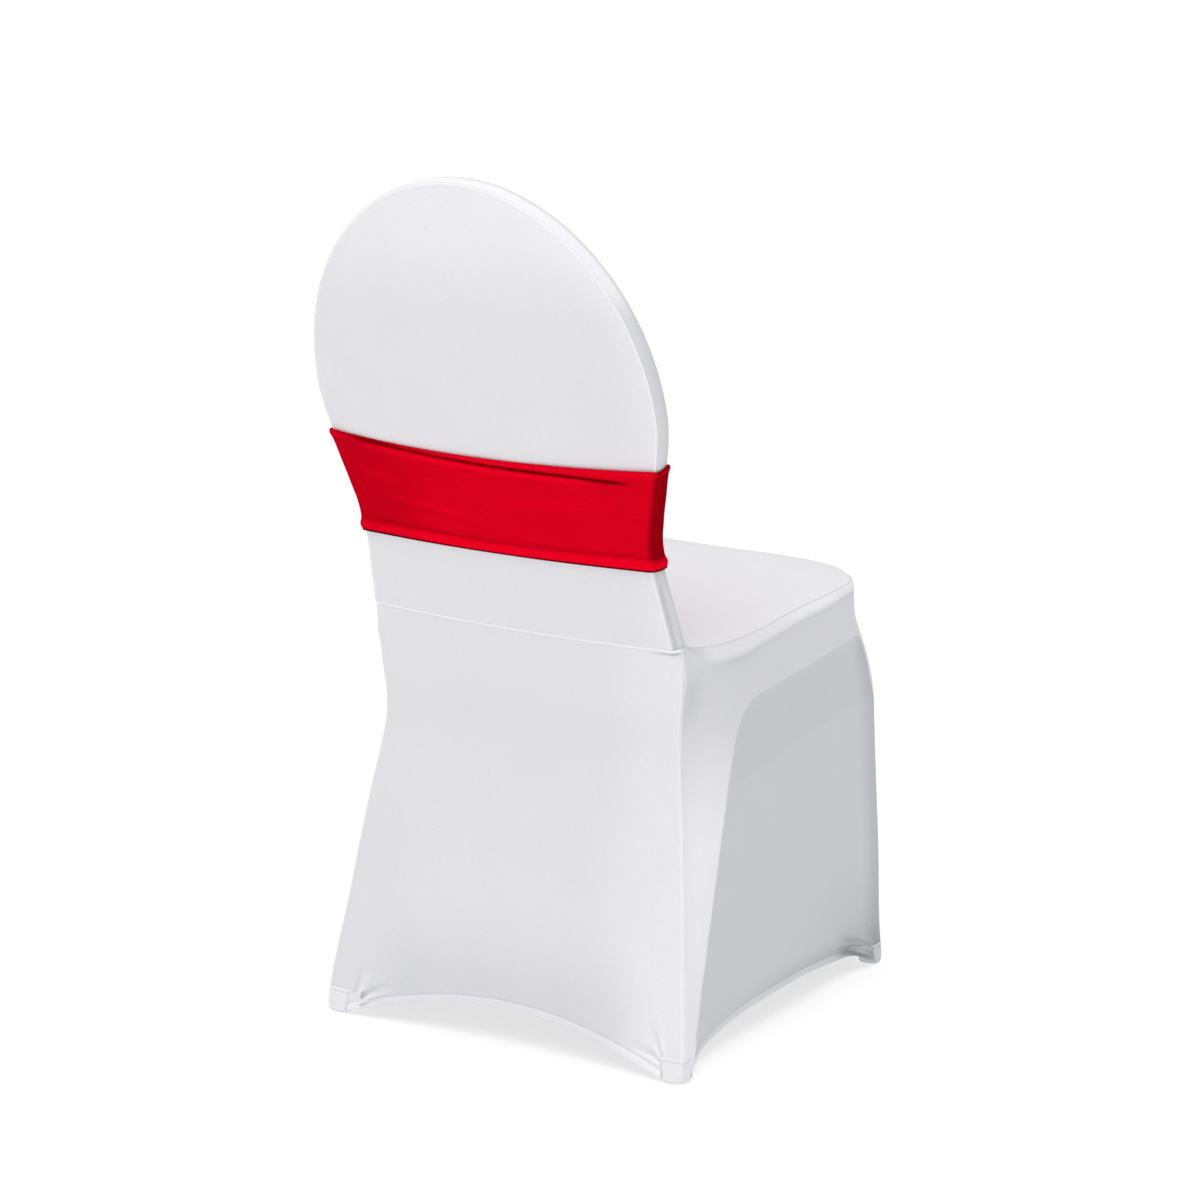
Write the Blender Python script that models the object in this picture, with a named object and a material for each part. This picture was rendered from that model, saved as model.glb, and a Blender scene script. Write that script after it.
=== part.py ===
"""Stretch chair cover with a sash, hanging as it does on a banquet chair with a round-topped back.

Every cut piece is a closed sheet of cloth: back_upper, gusset, inside_back, seat_top, four skirts, four
foot pockets and the sash. The sitter faces -Y, +X is the sitter's left, and the floor is z = 0. All lengths
are metres. The tables give y from the waist line; FRAME_Y then moves the whole cover so that x = y = 0 is
its middle.
"""

import math

import bpy
import numpy as np

# Cloth
CLOTH = 0.0020
HEM = 0.0028
SEAM_GAP = 0.0003
FRAME_Y = 0.1351

# Back: round top, side outline, lean and the bulge of the outer panel
WAIST = 0.4515
WAIST_TILT = 0.0018
ARCH_CENTRE = 0.7000
ARCH_HALF_WIDTH = 0.2015
ARCH_RISE = 0.2300
ARCH_BULGE = 0.0290
SHOULDER = math.radians(45)
LEAN = 0.263
BACK_COLUMNS = ("height", "half_width", "edge_y", "bulge")
BACK_SECTIONS = (
    (0.4515, 0.1800, 0.0075, 0.0145),
    (0.4950, 0.1762, 0.0216, 0.0146),
    (0.5376, 0.1726, 0.0353, 0.0150),
    (0.5650, 0.1722, 0.0430, 0.0175),
    (0.5925, 0.1780, 0.0507, 0.0205),
    (0.6180, 0.1845, 0.0577, 0.0232),
    (0.6471, 0.1926, 0.0659, 0.0260),
    (0.7000, 0.2015, 0.0798, 0.0290),
    (0.7500, 0.1967, 0.0930, 0.0276),
)

# Gusset between the outer and the inside panel
GUSSET = 0.0220
GUSSET_LIFT = 0.0026
GUSSET_ROUND = 0.0022
GUSSET_ROUND_WAIST = 0.0035
GUSSET_MIDDLE = 0.4
WAIST_FLARE = 0.0020
INSIDE_SAG = 0.0040
WAIST_REACH = 0.0800

# Seat: crown above its seams, and (x, y, z) of the side seam from the back to the front corner
CROWN = 0.0115
SEAT_SEAM = (
    (0.2020, -0.0400, 0.4466),
    (0.2085, -0.1110, 0.4458),
    (0.2072, -0.1630, 0.4463),
    (0.2052, -0.2150, 0.4475),
    (0.2055, -0.2670, 0.4481),
    (0.2047, -0.3190, 0.4487),
    (0.1990, -0.3460, 0.4490),
    (0.1870, -0.3640, 0.4490),
)

# Skirt sections from the top seam down to the hem: the rear corner seam, the rear leg and the line along
# which the side leaves the frame, then the front leg and the front corner seam
SIDE_REAR_COLUMNS = ("down", "rear_z", "rear_x", "rear_y", "leg_x", "light_x", "line_x", "line_y")
SIDE_REAR_SECTIONS = (
    (0.000, 0.4515, 0.1852, -0.0013, 0.1820, 0.2020, 0.2085, -0.1110),
    (0.039, 0.4340, 0.1858, -0.0035, 0.1930, 0.2075, 0.2112, -0.1070),
    (0.097, 0.4080, 0.1850, -0.0062, 0.1920, 0.2060, 0.2100, -0.0990),
    (0.177, 0.3720, 0.1812, -0.0080, 0.1885, 0.2035, 0.2088, -0.0885),
    (0.260, 0.3350, 0.1788, -0.0099, 0.1860, 0.1990, 0.2072, -0.0775),
    (0.382, 0.2800, 0.1850, -0.0020, 0.1895, 0.1990, 0.2068, -0.0610),
    (0.561, 0.2000, 0.1970, 0.0130, 0.1992, 0.2048, 0.2088, -0.0392),
    (0.739, 0.1200, 0.2070, 0.0275, 0.2080, 0.2102, 0.2115, -0.0155),
    (0.945, 0.0278, 0.2182, 0.0463, 0.2181, 0.2160, 0.2142, 0.0105),
    (0.984, 0.0100, 0.2196, 0.0486, 0.2192, 0.2168, 0.2148, 0.0150),
    (1.000, 0.0030, 0.2200, 0.0493, 0.2196, 0.2170, 0.2150, 0.0165),
)
SIDE_FRONT_COLUMNS = ("down", "front_z", "hollow_x", "front_x", "near_x", "corner_x", "corner_y")
SIDE_FRONT_SECTIONS = (
    (0.000, 0.4490, 0.2052, 0.2047, 0.1990, 0.1870, -0.3640),
    (0.039, 0.4415, 0.2115, 0.2085, 0.2015, 0.1905, -0.3665),
    (0.097, 0.4140, 0.2110, 0.2085, 0.2025, 0.1922, -0.3690),
    (0.177, 0.3890, 0.2105, 0.2088, 0.2045, 0.1955, -0.3745),
    (0.260, 0.3450, 0.2088, 0.2085, 0.2062, 0.2020, -0.3900),
    (0.382, 0.2850, 0.2082, 0.2088, 0.2078, 0.2060, -0.3965),
    (0.561, 0.2020, 0.2090, 0.2105, 0.2100, 0.2090, -0.3995),
    (0.739, 0.1200, 0.2102, 0.2125, 0.2126, 0.2120, -0.4025),
    (0.945, 0.0278, 0.2102, 0.2136, 0.2150, 0.2150, -0.4048),
    (0.984, 0.0100, 0.2100, 0.2138, 0.2156, 0.2160, -0.4066),
    (1.000, 0.0030, 0.2098, 0.2138, 0.2158, 0.2164, -0.4074),
)
HEM_HEIGHT = 0.0030
SKIRT_DROP = 0.4485
POCKET_ROW = 0.945
HEM_ROW = 0.984
LEG_DEPTH = 0.0205
WAIST_DEPTH = 0.0127
DEPTH_FADE = 0.03
TILT_FADE = 0.1
FRONT_REACH = 0.045
NEAR_REACH = 0.018

# Back and front skirts between the legs: where the leg ends, and how far the cloth stands behind or before it
REAR_COLUMNS = ("down", "leg_in", "leg_y", "bulge")
REAR_SECTIONS = (
    (0.000, 0.0052, 0.0088, 0.0145),
    (0.039, 0.0100, 0.0070, 0.0138),
    (0.097, 0.0150, 0.0042, 0.0115),
    (0.177, 0.0200, 0.0020, 0.0090),
    (0.260, 0.0235, 0.0010, 0.0062),
    (0.382, 0.0250, 0.0006, 0.0030),
    (0.561, 0.0250, 0.0004, -0.0020),
    (0.739, 0.0250, 0.0002, -0.0060),
    (0.945, 0.0250, 0.0000, -0.0098),
    (1.000, 0.0250, 0.0000, -0.0110),
)
FRONT_COLUMNS = ("down", "leg_in", "leg_y", "bend_y", "middle_y")
FRONT_SECTIONS = (
    (0.000, 0.0170, -0.3810, -0.4015, -0.4045),
    (0.039, 0.0175, -0.3850, -0.4050, -0.4090),
    (0.097, 0.0180, -0.3885, -0.4062, -0.4105),
    (0.177, 0.0190, -0.3925, -0.4060, -0.4100),
    (0.260, 0.0210, -0.3985, -0.4045, -0.4065),
    (0.382, 0.0220, -0.3985, -0.4010, -0.4020),
    (0.561, 0.0220, -0.4000, -0.3998, -0.3985),
    (0.739, 0.0220, -0.4027, -0.3995, -0.3965),
    (0.945, 0.0220, -0.4048, -0.3985, -0.3945),
    (1.000, 0.0220, -0.4072, -0.3985, -0.3935),
)
FRONT_BEND = 0.74

# Hem arches, as heights above their ends, and the hollow between the legs under the side rail
REAR_ARCH = 0.0370
ARCH_POWER = 1.9
SIDE_ARCH = ((0.0, 0.0), (0.1, 0.0085), (0.25, 0.0190), (0.4, 0.0260), (0.55, 0.0285), (0.7, 0.0265),
             (0.85, 0.0210), (0.94, 0.0140), (1.0, 0.0))
ARCH_START = 0.55
HOLLOW = 0.0070
HOLLOW_SOFT = 0.0150
HOLLOW_CORNER = 0.0400
HOLLOW_TOP = ((-0.40, 0.3920), (-0.3035, 0.3869), (-0.2129, 0.3816), (-0.1186, 0.3762), (-0.05, 0.3700))
HOLLOW_REAR = ((0.0, 0.0193), (0.0873, -0.0043), (0.2155, -0.0436), (0.3381, -0.0788), (0.45, -0.1130))
HOLLOW_FRONT = -0.3800

# Foot pockets: a cup at each corner, with its outer corner a little proud of the skirts
POCKET_HEIGHT = 0.0270
POCKET_FLOOR = 0.0020
POCKET_WALL = 0.0019
POCKET_PROUD = 0.0008
POCKET_CLEAR = 0.0014
POCKET_ROUND = 0.0030
POCKET_ROUND_LEAST = 0.0012
POCKET_EDGE = 0.0008
FRONT_POCKET_WIDTH = 0.0220
FRONT_POCKET_DEPTH = 0.0180
REAR_POCKET_WIDTH = 0.0250
REAR_POCKET_DEPTH = 0.0205

# Sash: its edges, and (share of the way down, thickness) from the top edge to the bottom one
SASH_TOP = 0.6471
SASH_BOTTOM = 0.5376
SASH_SAG = 0.0030
SASH_GAP = 0.0004
SASH_EDGE_GAP = 0.0020
SASH_EDGE_POWER = 6
SASH_PROFILE = (
    (0.000, 0.0022), (0.015, 0.0036), (0.055, 0.0036), (0.085, 0.0018), (0.200, 0.0015), (0.450, 0.0015),
    (0.700, 0.0015), (0.860, 0.0020), (0.915, 0.0040), (0.965, 0.0044), (1.000, 0.0026),
)

# Seams: the sharpest lean that a joint's thickness allows for, and how near two walls count as one direction
LEAN_LEAST = 0.6
WALL_LEAST = 0.3
WALL_CUT = 0.35
RING_LEAST = 0.7
PANEL_CREASE = 35
POCKET_CREASE = 50

# Mesh steps
BACK_STEPS = 16
SIDE_STEPS = 14
GUSSET_STEPS = (0.0, 0.2, GUSSET_MIDDLE, 0.7, 1.0)
ACROSS_SIDE = (0, 0.5, 1, 1.5, 2, 2.5, 3, 3.5, 4, 4.5, 5, 5.5, 6, 6.5, 7, 7.5, 8, 8.5, 9)
DOWN = (0, 0.039, 0.097, 0.177, 0.26, 0.32, 0.382, 0.47, 0.561, 0.65, 0.739, 0.84, POCKET_ROW, HEM_ROW, 1)

WHITE = (0.86, 0.86, 0.88, 1.0)
RED = (0.68, 0.002, 0.012, 1.0)


def spline(knots, values):
    """A natural cubic curve through values at knots, running straight on past its ends."""
    x = np.asarray(knots, float)
    y = np.asarray(values, float)
    flat = y.reshape(len(x), -1)
    step = np.diff(x)
    rise = np.diff(flat, axis=0) / step[:, None]
    system = np.eye(len(x))
    right = np.zeros_like(flat)
    for i in range(1, len(x) - 1):
        system[i, i - 1:i + 2] = (step[i - 1], 2 * (step[i - 1] + step[i]), step[i])
        right[i] = 6 * (rise[i] - rise[i - 1])
    bend = np.linalg.solve(system, right)

    def at(t):
        t = np.asarray(t, float)
        inside = np.clip(t, x[0], x[-1])
        i = np.clip(np.searchsorted(x, inside, side="right") - 1, 0, len(x) - 2).ravel()
        h = step[i][:, None]
        p = (inside.ravel() - x[i])[:, None]
        q = h - p
        value = (bend[i] * q**3 + bend[i + 1] * p**3) / (6 * h)
        value += (flat[i] / h - bend[i] * h / 6) * q + (flat[i + 1] / h - bend[i + 1] * h / 6) * p
        slope = (bend[i + 1] * p**2 - bend[i] * q**2) / (2 * h) + rise[i] - (bend[i + 1] - bend[i]) * h / 6
        value += slope * (t - inside).ravel()[:, None]
        return value.reshape(t.shape + y.shape[1:])

    return at


def curves(names, rows):
    """One smooth curve for each named column of a table, read by its first column."""
    table = np.array(rows)
    return {name: spline(table[:, 0], table[:, i]) for i, name in enumerate(names)}


BACK = curves(BACK_COLUMNS, BACK_SECTIONS)
SKIRT = curves(SIDE_REAR_COLUMNS, SIDE_REAR_SECTIONS) | curves(SIDE_FRONT_COLUMNS, SIDE_FRONT_SECTIONS)
REAR = curves(REAR_COLUMNS, REAR_SECTIONS)
FRONT = curves(FRONT_COLUMNS, FRONT_SECTIONS)
RAIL_LINE = spline(*zip(*HOLLOW_TOP))
LEG_LINE = spline(*zip(*HOLLOW_REAR))


def half_width(z):
    """Half the width of the back at a height: the arch above its centre, the side outline below."""
    reach = np.clip((z - ARCH_CENTRE) / ARCH_RISE, 0, 1)
    return np.where(z > ARCH_CENTRE, ARCH_HALF_WIDTH * np.sqrt(1 - reach**2), BACK["half_width"](z))


def edge_y(z):
    """How far back the outer seam of the back lies at a height."""
    top = BACK["edge_y"](ARCH_CENTRE) + LEAN * (z - ARCH_CENTRE)
    return np.where(z > ARCH_CENTRE, top, BACK["edge_y"](z))


def dome(x, z, depth_below, depth_above):
    """Height of a dome that is 0 on the back's outline: depth_below is its depth below the arch's centre."""
    low = depth_below * (1 - (x / BACK["half_width"](z))**2)
    high = depth_above * (1 - ((z - ARCH_CENTRE) / ARCH_RISE)**2 - (x / ARCH_HALF_WIDTH)**2)
    return np.where(z > ARCH_CENTRE, high, low)


def outline(w):
    """(x, z) of the back's outer seam: w is 0 to 1 up the left side, 2 past the arch, 3 down the right."""
    shoulder = ARCH_CENTRE + ARCH_RISE * math.sin(SHOULDER)
    if 1 <= w <= 2:
        angle = SHOULDER + (w - 1) * (math.pi - 2 * SHOULDER)
        return np.array([ARCH_HALF_WIDTH * math.cos(angle), ARCH_CENTRE + ARCH_RISE * math.sin(angle)])
    side = 1 if w < 1 else -1
    share = w if w < 1 else 3 - w
    foot = WAIST + side * WAIST_TILT
    z = foot + (shoulder - foot) * share
    return np.array([side * float(half_width(z)), z])


def outer_seam(w):
    x, z = outline(w)
    return np.array([x, float(edge_y(z)), z])


def outward(w):
    """The direction square to the outline, in its own plane and away from the back."""
    ahead = outline(min(w + 0.01, 3))
    behind = outline(max(w - 0.01, 0))
    dx, dz = ahead - behind
    normal = np.array([dz, 0, -dx])
    return normal / np.linalg.norm(normal)


def above_waist(z):
    """0 at the waist, 1 from WAIST_REACH above it."""
    return float(np.clip((z - WAIST) / WAIST_REACH, 0, 1))


def inner_seam(w):
    x, z = outline(w)
    rise = above_waist(z)
    z = z + GUSSET_LIFT * rise
    flare = WAIST_FLARE * (1 - rise) * (1 if x > 0 else -1)
    return np.array([x + flare, float(edge_y(z)) - GUSSET, z])


def gusset_point(w, share):
    """A point of the gusset, share of the way from the outer seam to the inner one."""
    z = outline(w)[1]
    rise = above_waist(z)
    swell = GUSSET_ROUND * rise + GUSSET_ROUND_WAIST * (1 - rise)
    flat = outer_seam(w) * (1 - share) + inner_seam(w) * share
    return flat + outward(w) * swell * 4 * share * (1 - share)


def coons(bottom, top, left, right):
    """The sheet between four edges, each a row of points; left and right run from bottom to top."""
    s = np.linspace(0, 1, len(bottom))[None, :, None]
    t = np.linspace(0, 1, len(left))[:, None, None]
    sheet = (1 - t) * bottom[None] + t * top[None] + (1 - s) * left[:, None] + s * right[:, None]
    ends = (1 - s) * (1 - t) * bottom[0] + s * (1 - t) * bottom[-1] + (1 - s) * t * top[0] + s * t * top[-1]
    return sheet - ends


def back_sheets():
    """The outer and the inside panel of the back, as grids from the waist up and from -X to +X."""
    u = np.linspace(-1, 1, BACK_STEPS + 1)
    up = np.linspace(0, 1, SIDE_STEPS + 1)
    waist_x = u * half_width(WAIST)
    waist = np.stack([waist_x, 0 * u, WAIST + WAIST_TILT * u], 1)
    over = np.array([outer_seam(2 - (k + 1) / 2) for k in u])
    right = np.array([outer_seam(3 - v) for v in up])
    left = np.array([outer_seam(v) for v in up])
    outer = coons(waist, over, right, left)
    x, z = outer[..., 0], outer[..., 2]
    outer[..., 1] = edge_y(z) + dome(x, z, BACK["bulge"](z), ARCH_BULGE)

    foot_x = u * abs(inner_seam(0)[0])
    foot_z = WAIST + WAIST_TILT * u + CROWN * (1 - u**4)
    foot = np.stack([foot_x, 0 * u, foot_z], 1)
    over = np.array([inner_seam(2 - (k + 1) / 2) for k in u])
    right = np.array([inner_seam(3 - v) for v in up])
    left = np.array([inner_seam(v) for v in up])
    inside = coons(foot, over, right, left)
    x, z = inside[..., 0], inside[..., 2]
    edge = np.zeros(x.shape, bool)
    edge[-1, :] = edge[:, 0] = edge[:, -1] = True
    sag = np.where(edge, 0, dome(x, z, INSIDE_SAG, INSIDE_SAG))
    inside[..., 1] = edge_y(z) - GUSSET + np.clip(sag, 0, None)
    return outer, inside


def gusset_sheet():
    """The gusset, as a grid along the outline and from the outer to the inner seam."""
    up = np.linspace(0, 1, SIDE_STEPS + 1)
    over = 1 + np.linspace(0, 1, BACK_STEPS + 1)
    stations = list(up) + list(over[1:-1]) + list(3 - up[::-1])
    return np.array([[gusset_point(w, share) for share in GUSSET_STEPS] for w in stations])


def hollow(y, z):
    """How far the side cloth lies inside the frame: 0 at the frame line, most in the middle."""
    top = RAIL_LINE(y) - z
    rear = LEG_LINE(z) - y
    front = y - HOLLOW_FRONT
    short = [np.clip(HOLLOW_CORNER - d, 0, None) for d in (top, rear, front)]
    inside = HOLLOW_CORNER - np.sqrt(short[0]**2 + short[1]**2 + short[2]**2)
    return HOLLOW * (1 - np.exp(-np.clip(inside, 0, None) / HOLLOW_SOFT))


def arch_share(down):
    """How much of the hem's arch shows at a row: none above ARCH_START, all at the hem."""
    return float(np.clip((down - ARCH_START) / (1 - ARCH_START), 0, 1))**2


def side_row(down, places):
    """One row of the side skirt at +X, at places 0 (rear corner) to 9 (front corner)."""
    at = {name: float(curve(down)) for name, curve in SKIRT.items()}
    depth = LEG_DEPTH + (WAIST_DEPTH - LEG_DEPTH) * math.exp(-down / DEPTH_FADE)
    leg_y = at["rear_y"] - depth
    light_y = (leg_y + at["line_y"]) / 2
    front_y = at["corner_y"] + FRONT_REACH
    near_y = at["corner_y"] + NEAR_REACH
    span = [at["line_y"] + (front_y - at["line_y"]) * k / 4 for k in (1, 2, 3)]
    y_places = [at["rear_y"], leg_y, light_y, at["line_y"], *span, front_y, near_y, at["corner_y"]]
    y = np.interp(places, range(10), y_places)
    knots = [at["corner_y"], near_y, front_y, span[1], at["line_y"], light_y, leg_y, at["rear_y"]]
    names = ("corner_x", "near_x", "front_x", "hollow_x", "line_x", "light_x", "leg_x", "rear_x")
    x = spline(knots, [at[name] for name in names])(y)
    share = (y - at["rear_y"]) / (at["corner_y"] - at["rear_y"])
    z = at["rear_z"] + (at["front_z"] - at["rear_z"]) * share
    between = np.clip((leg_y - y) / (leg_y - near_y), 0, 1)
    z = z + arch_share(down) * np.interp(between, *zip(*SIDE_ARCH))
    return np.stack([x - hollow(y, z), y, z], 1)


def side_sheet():
    """The side skirt at +X; its top row is the waist corner, the gusset's foot and then the seat seam."""
    sheet = np.array([side_row(down, ACROSS_SIDE) for down in DOWN])
    places = np.array(ACROSS_SIDE)
    seam = spline([1, 2, 3, 4, 5, 6, 7, 8, 9], np.vstack([inner_seam(0), np.array(SEAT_SEAM)]))
    for column, place in enumerate(places):
        share = GUSSET_MIDDLE + (1 - GUSSET_MIDDLE) * place
        sheet[0, column] = seam(place) if place > 1 else gusset_point(0, share)
    return sheet


def rear_sheet(outer):
    """The back skirt, with the waist seam as its top row and a column at each edge of each leg."""
    u = np.linspace(-1, 1, BACK_STEPS + 1)
    sheet = np.zeros((len(DOWN), BACK_STEPS + 5, 3))
    for row, down in enumerate(DOWN):
        at = {name: float(curve(down)) for name, curve in SKIRT.items()}
        rear = {name: float(curve(down)) for name, curve in REAR.items()}
        leg_x = at["rear_x"] - rear["leg_in"]
        lift = arch_share(down) * REAR_ARCH * (1 - np.abs(u)**ARCH_POWER)
        tilt = WAIST_TILT * u * math.exp(-down / TILT_FADE)
        y = at["rear_y"] + rear["leg_y"] + rear["bulge"] * (1 - u**2)
        sheet[row, 2:-2] = np.stack([leg_x * u, y, at["rear_z"] + lift + tilt], 1)
        for corner, beside, leg, side in ((0, 1, 2, -1), (-1, -2, -3, 1)):
            sheet[row, corner] = (side * at["rear_x"], at["rear_y"], at["rear_z"])
            sheet[row, beside] = (sheet[row, corner] + sheet[row, leg]) / 2
    sheet[0, 2:-2] = outer[0]
    for corner, beside, w in ((0, 1, 3), (-1, -2, 0)):
        sheet[0, corner] = gusset_point(w, GUSSET_MIDDLE)
        sheet[0, beside] = gusset_point(w, GUSSET_STEPS[1])
    return sheet


def front_sheet():
    """The front skirt, from -X to +X, with a column at each edge of each leg."""
    legs = np.linspace(-1, 1, BACK_STEPS - 1)
    sheet = np.zeros((len(DOWN), BACK_STEPS + 1, 3))
    for row, down in enumerate(DOWN):
        at = {name: float(curve(down)) for name, curve in SKIRT.items()}
        front = {name: float(curve(down)) for name, curve in FRONT.items()}
        leg_x = at["corner_x"] - front["leg_in"]
        half = [(0, front["middle_y"]), (FRONT_BEND * leg_x, front["bend_y"])]
        half += [(leg_x, front["leg_y"]), (at["corner_x"], at["corner_y"])]
        knots = [(-x, y) for x, y in half[:0:-1]] + half
        x = np.concatenate([[-at["corner_x"]], legs * leg_x, [at["corner_x"]]])
        y = spline(*zip(*knots))(x)
        lift = np.zeros(len(x))
        lift[1:-1] = arch_share(down) * REAR_ARCH * (1 - np.abs(legs)**ARCH_POWER)
        sheet[row] = np.stack([x, y, at["front_z"] + lift], 1)
    return sheet


def seat_sheet(inside, side, front):
    """The seat, from its rear edge forward, crowned between its seams."""
    start = ACROSS_SIDE.index(1)
    right = side[0, start:]
    left = right * (-1, 1, 1)
    left[0] = inner_seam(3)
    sheet = coons(inside[0], front[0], left, right)
    u = np.linspace(-1, 1, sheet.shape[1])[None]
    v = np.linspace(0, 1, sheet.shape[0])[:, None]
    sheet[..., 2] += CROWN * (1 - u**4) * (v - v**4)
    return sheet


def mirrored(sheet):
    """The same sheet on the other side of the cover, with its top row on that side's waist seam."""
    other = sheet * (-1, 1, 1)
    for column, place in enumerate(ACROSS_SIDE):
        if place <= 1:
            other[0, column] = gusset_point(3, GUSSET_MIDDLE + (1 - GUSSET_MIDDLE) * place)
    return other


class Cover:
    """All the white sheets on one set of shared points, so that neighbours meet on the same seam."""

    def __init__(self):
        self.points = []
        self.index = {}
        self.thick = []
        self.panels = {}

    def number(self, point, thick):
        key = tuple(np.round(point, 5))
        if key not in self.index:
            self.index[key] = len(self.points)
            self.points.append(np.array(point))
            self.thick.append(thick)
        return self.index[key]

    def add(self, name, sheet, flip, keep=None):
        """Takes a grid of points; keep(row, column) says which of its squares are cloth."""
        rows, columns = sheet.shape[:2]
        thick = [HEM if keep and row >= rows - 2 else CLOTH for row in range(rows)]
        grid = [[self.number(sheet[r, c], thick[r]) for c in range(columns)] for r in range(rows)]
        faces = []
        for r in range(rows - 1):
            for c in range(columns - 1):
                if keep is None or keep(r, c):
                    face = [grid[r][c], grid[r][c + 1], grid[r + 1][c + 1], grid[r + 1][c]]
                    faces.append(face[::-1] if flip else face)
        self.panels[name] = faces

    def inner_points(self):
        """Each point moved in by the cloth's thickness, square to the whole cover's surface."""
        points = np.array(self.points)
        normal = np.zeros_like(points)
        facing = [[] for _ in points]
        for faces in self.panels.values():
            for face in faces:
                a, b, c, d = points[face]
                square = np.cross(c - a, d - b)
                square /= np.linalg.norm(square)
                for corner in face:
                    normal[corner] += square
                    facing[corner].append(square)
        inner = points.copy()
        for i, squares in enumerate(facing):
            if squares:
                n = normal[i] / np.linalg.norm(normal[i])
                lean = max(LEAN_LEAST, float(np.mean([n @ square for square in squares])))
                inner[i] -= n * self.thick[i] / lean
        return inner


def rim_loops(faces):
    """The open edges of a panel, as (start, end, face), with the face on the left of each."""
    edges = {}
    for k, face in enumerate(faces):
        for a, b in zip(face, face[1:] + face[:1]):
            edges[(a, b)] = k
    return [(a, b, k) for (a, b), k in edges.items() if (b, a) not in edges]


def inset(points, other, faces, rim):
    """Moves a panel's rim into the panel, so that two neighbours stand SEAM_GAP apart."""
    moved = points.copy()
    ways = {}
    for a, b, k in rim:
        corners = points[faces[k]]
        normal = np.cross(corners[2] - corners[0], corners[3] - corners[1])
        into = np.cross(normal, points[b] - points[a])
        into /= np.linalg.norm(into)
        for corner in (a, b):
            wall = other[corner] - points[corner]
            wall /= np.linalg.norm(wall)
            reach = SEAM_GAP / 2 / math.sqrt(max(WALL_LEAST, 1 - float(into @ wall)**2))
            ways.setdefault(corner, []).append((into, reach))
    for corner, pairs in ways.items():
        system = np.array([into for into, _ in pairs])
        reach = np.array([far for _, far in pairs])
        moved[corner] = points[corner] + np.linalg.lstsq(system, reach, rcond=WALL_CUT)[0]
    return moved


def material(name, colour, roughness):
    made = bpy.data.materials.new(name)
    made.use_nodes = True
    shader = made.node_tree.nodes["Principled BSDF"]
    shader.inputs["Base Color"].default_value = colour
    shader.inputs["Roughness"].default_value = roughness
    shader.inputs["Metallic"].default_value = 0.0
    return made


def add_object(name, points, faces, colour, roughness, crease=PANEL_CREASE):
    """Makes one closed piece, placed in the cover's own frame."""
    mesh = bpy.data.meshes.new(name)
    mesh.from_pydata([(x, y + FRAME_Y, z) for x, y, z in points], [], faces)
    mesh.validate()
    mesh.shade_smooth()
    mesh.set_sharp_from_angle(angle=math.radians(crease))
    mesh.materials.append(material(name, colour, roughness))
    piece = bpy.data.objects.new(name, mesh)
    bpy.context.scene.collection.objects.link(piece)
    return piece


def add_panel(cover, name, inner):
    """Closes one panel: its outside, its inside and the rim between them."""
    faces = cover.panels[name]
    outer = np.array(cover.points)
    rim = rim_loops(faces)
    out_points = inset(outer, inner, faces, rim)
    in_points = inset(inner, outer, faces, rim)
    used = sorted({i for face in faces for i in face})
    place = {i: k for k, i in enumerate(used)}
    count = len(used)
    closed = [[place[i] for i in face] for face in faces]
    closed += [[place[i] + count for i in reversed(face)] for face in faces]
    for a, b, _ in rim:
        ring = [place[b], place[a], place[a] + count, place[b] + count]
        if a > b:
            ring = ring[1:] + ring[:1]
        closed += [[ring[0], ring[1], ring[2]], [ring[0], ring[2], ring[3]]]
    points = np.vstack([out_points[used], in_points[used]])
    return add_object(name, points, closed, WHITE, 0.75)


def rounded_corners(x0, x1, y0, y1, radius):
    """An upright box's outline, with three points on each round corner, counter-clockwise."""
    points = []
    for cx, cy, start in ((x1, y1, 0), (x0, y1, 90), (x0, y0, 180), (x1, y0, 270)):
        inward_x = radius if cx == x0 else -radius
        inward_y = radius if cy == y0 else -radius
        for turn in (0, 45, 90):
            angle = math.radians(start + turn)
            turned = (math.cos(angle), math.sin(angle))
            points.append((cx + inward_x + radius * turned[0], cy + inward_y + radius * turned[1]))
    return np.array(points)


def pocket_span(z, rear):
    """(x0, x1, y0, y1) of the pocket at +X at a height: its outer corner follows the skirt's corner seam."""
    down = 1 - (z - HEM_HEIGHT) / SKIRT_DROP
    x = float(SKIRT["rear_x" if rear else "corner_x"](down))
    y = float(SKIRT["rear_y" if rear else "corner_y"](down))
    width = REAR_POCKET_WIDTH if rear else FRONT_POCKET_WIDTH
    depth = REAR_POCKET_DEPTH if rear else FRONT_POCKET_DEPTH
    far_x = x + POCKET_PROUD
    near_x = x - width + POCKET_CLEAR
    if rear:
        return near_x, far_x, y - depth + POCKET_CLEAR, y + POCKET_PROUD
    return near_x, far_x, y - POCKET_PROUD, y + depth - POCKET_CLEAR


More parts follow.
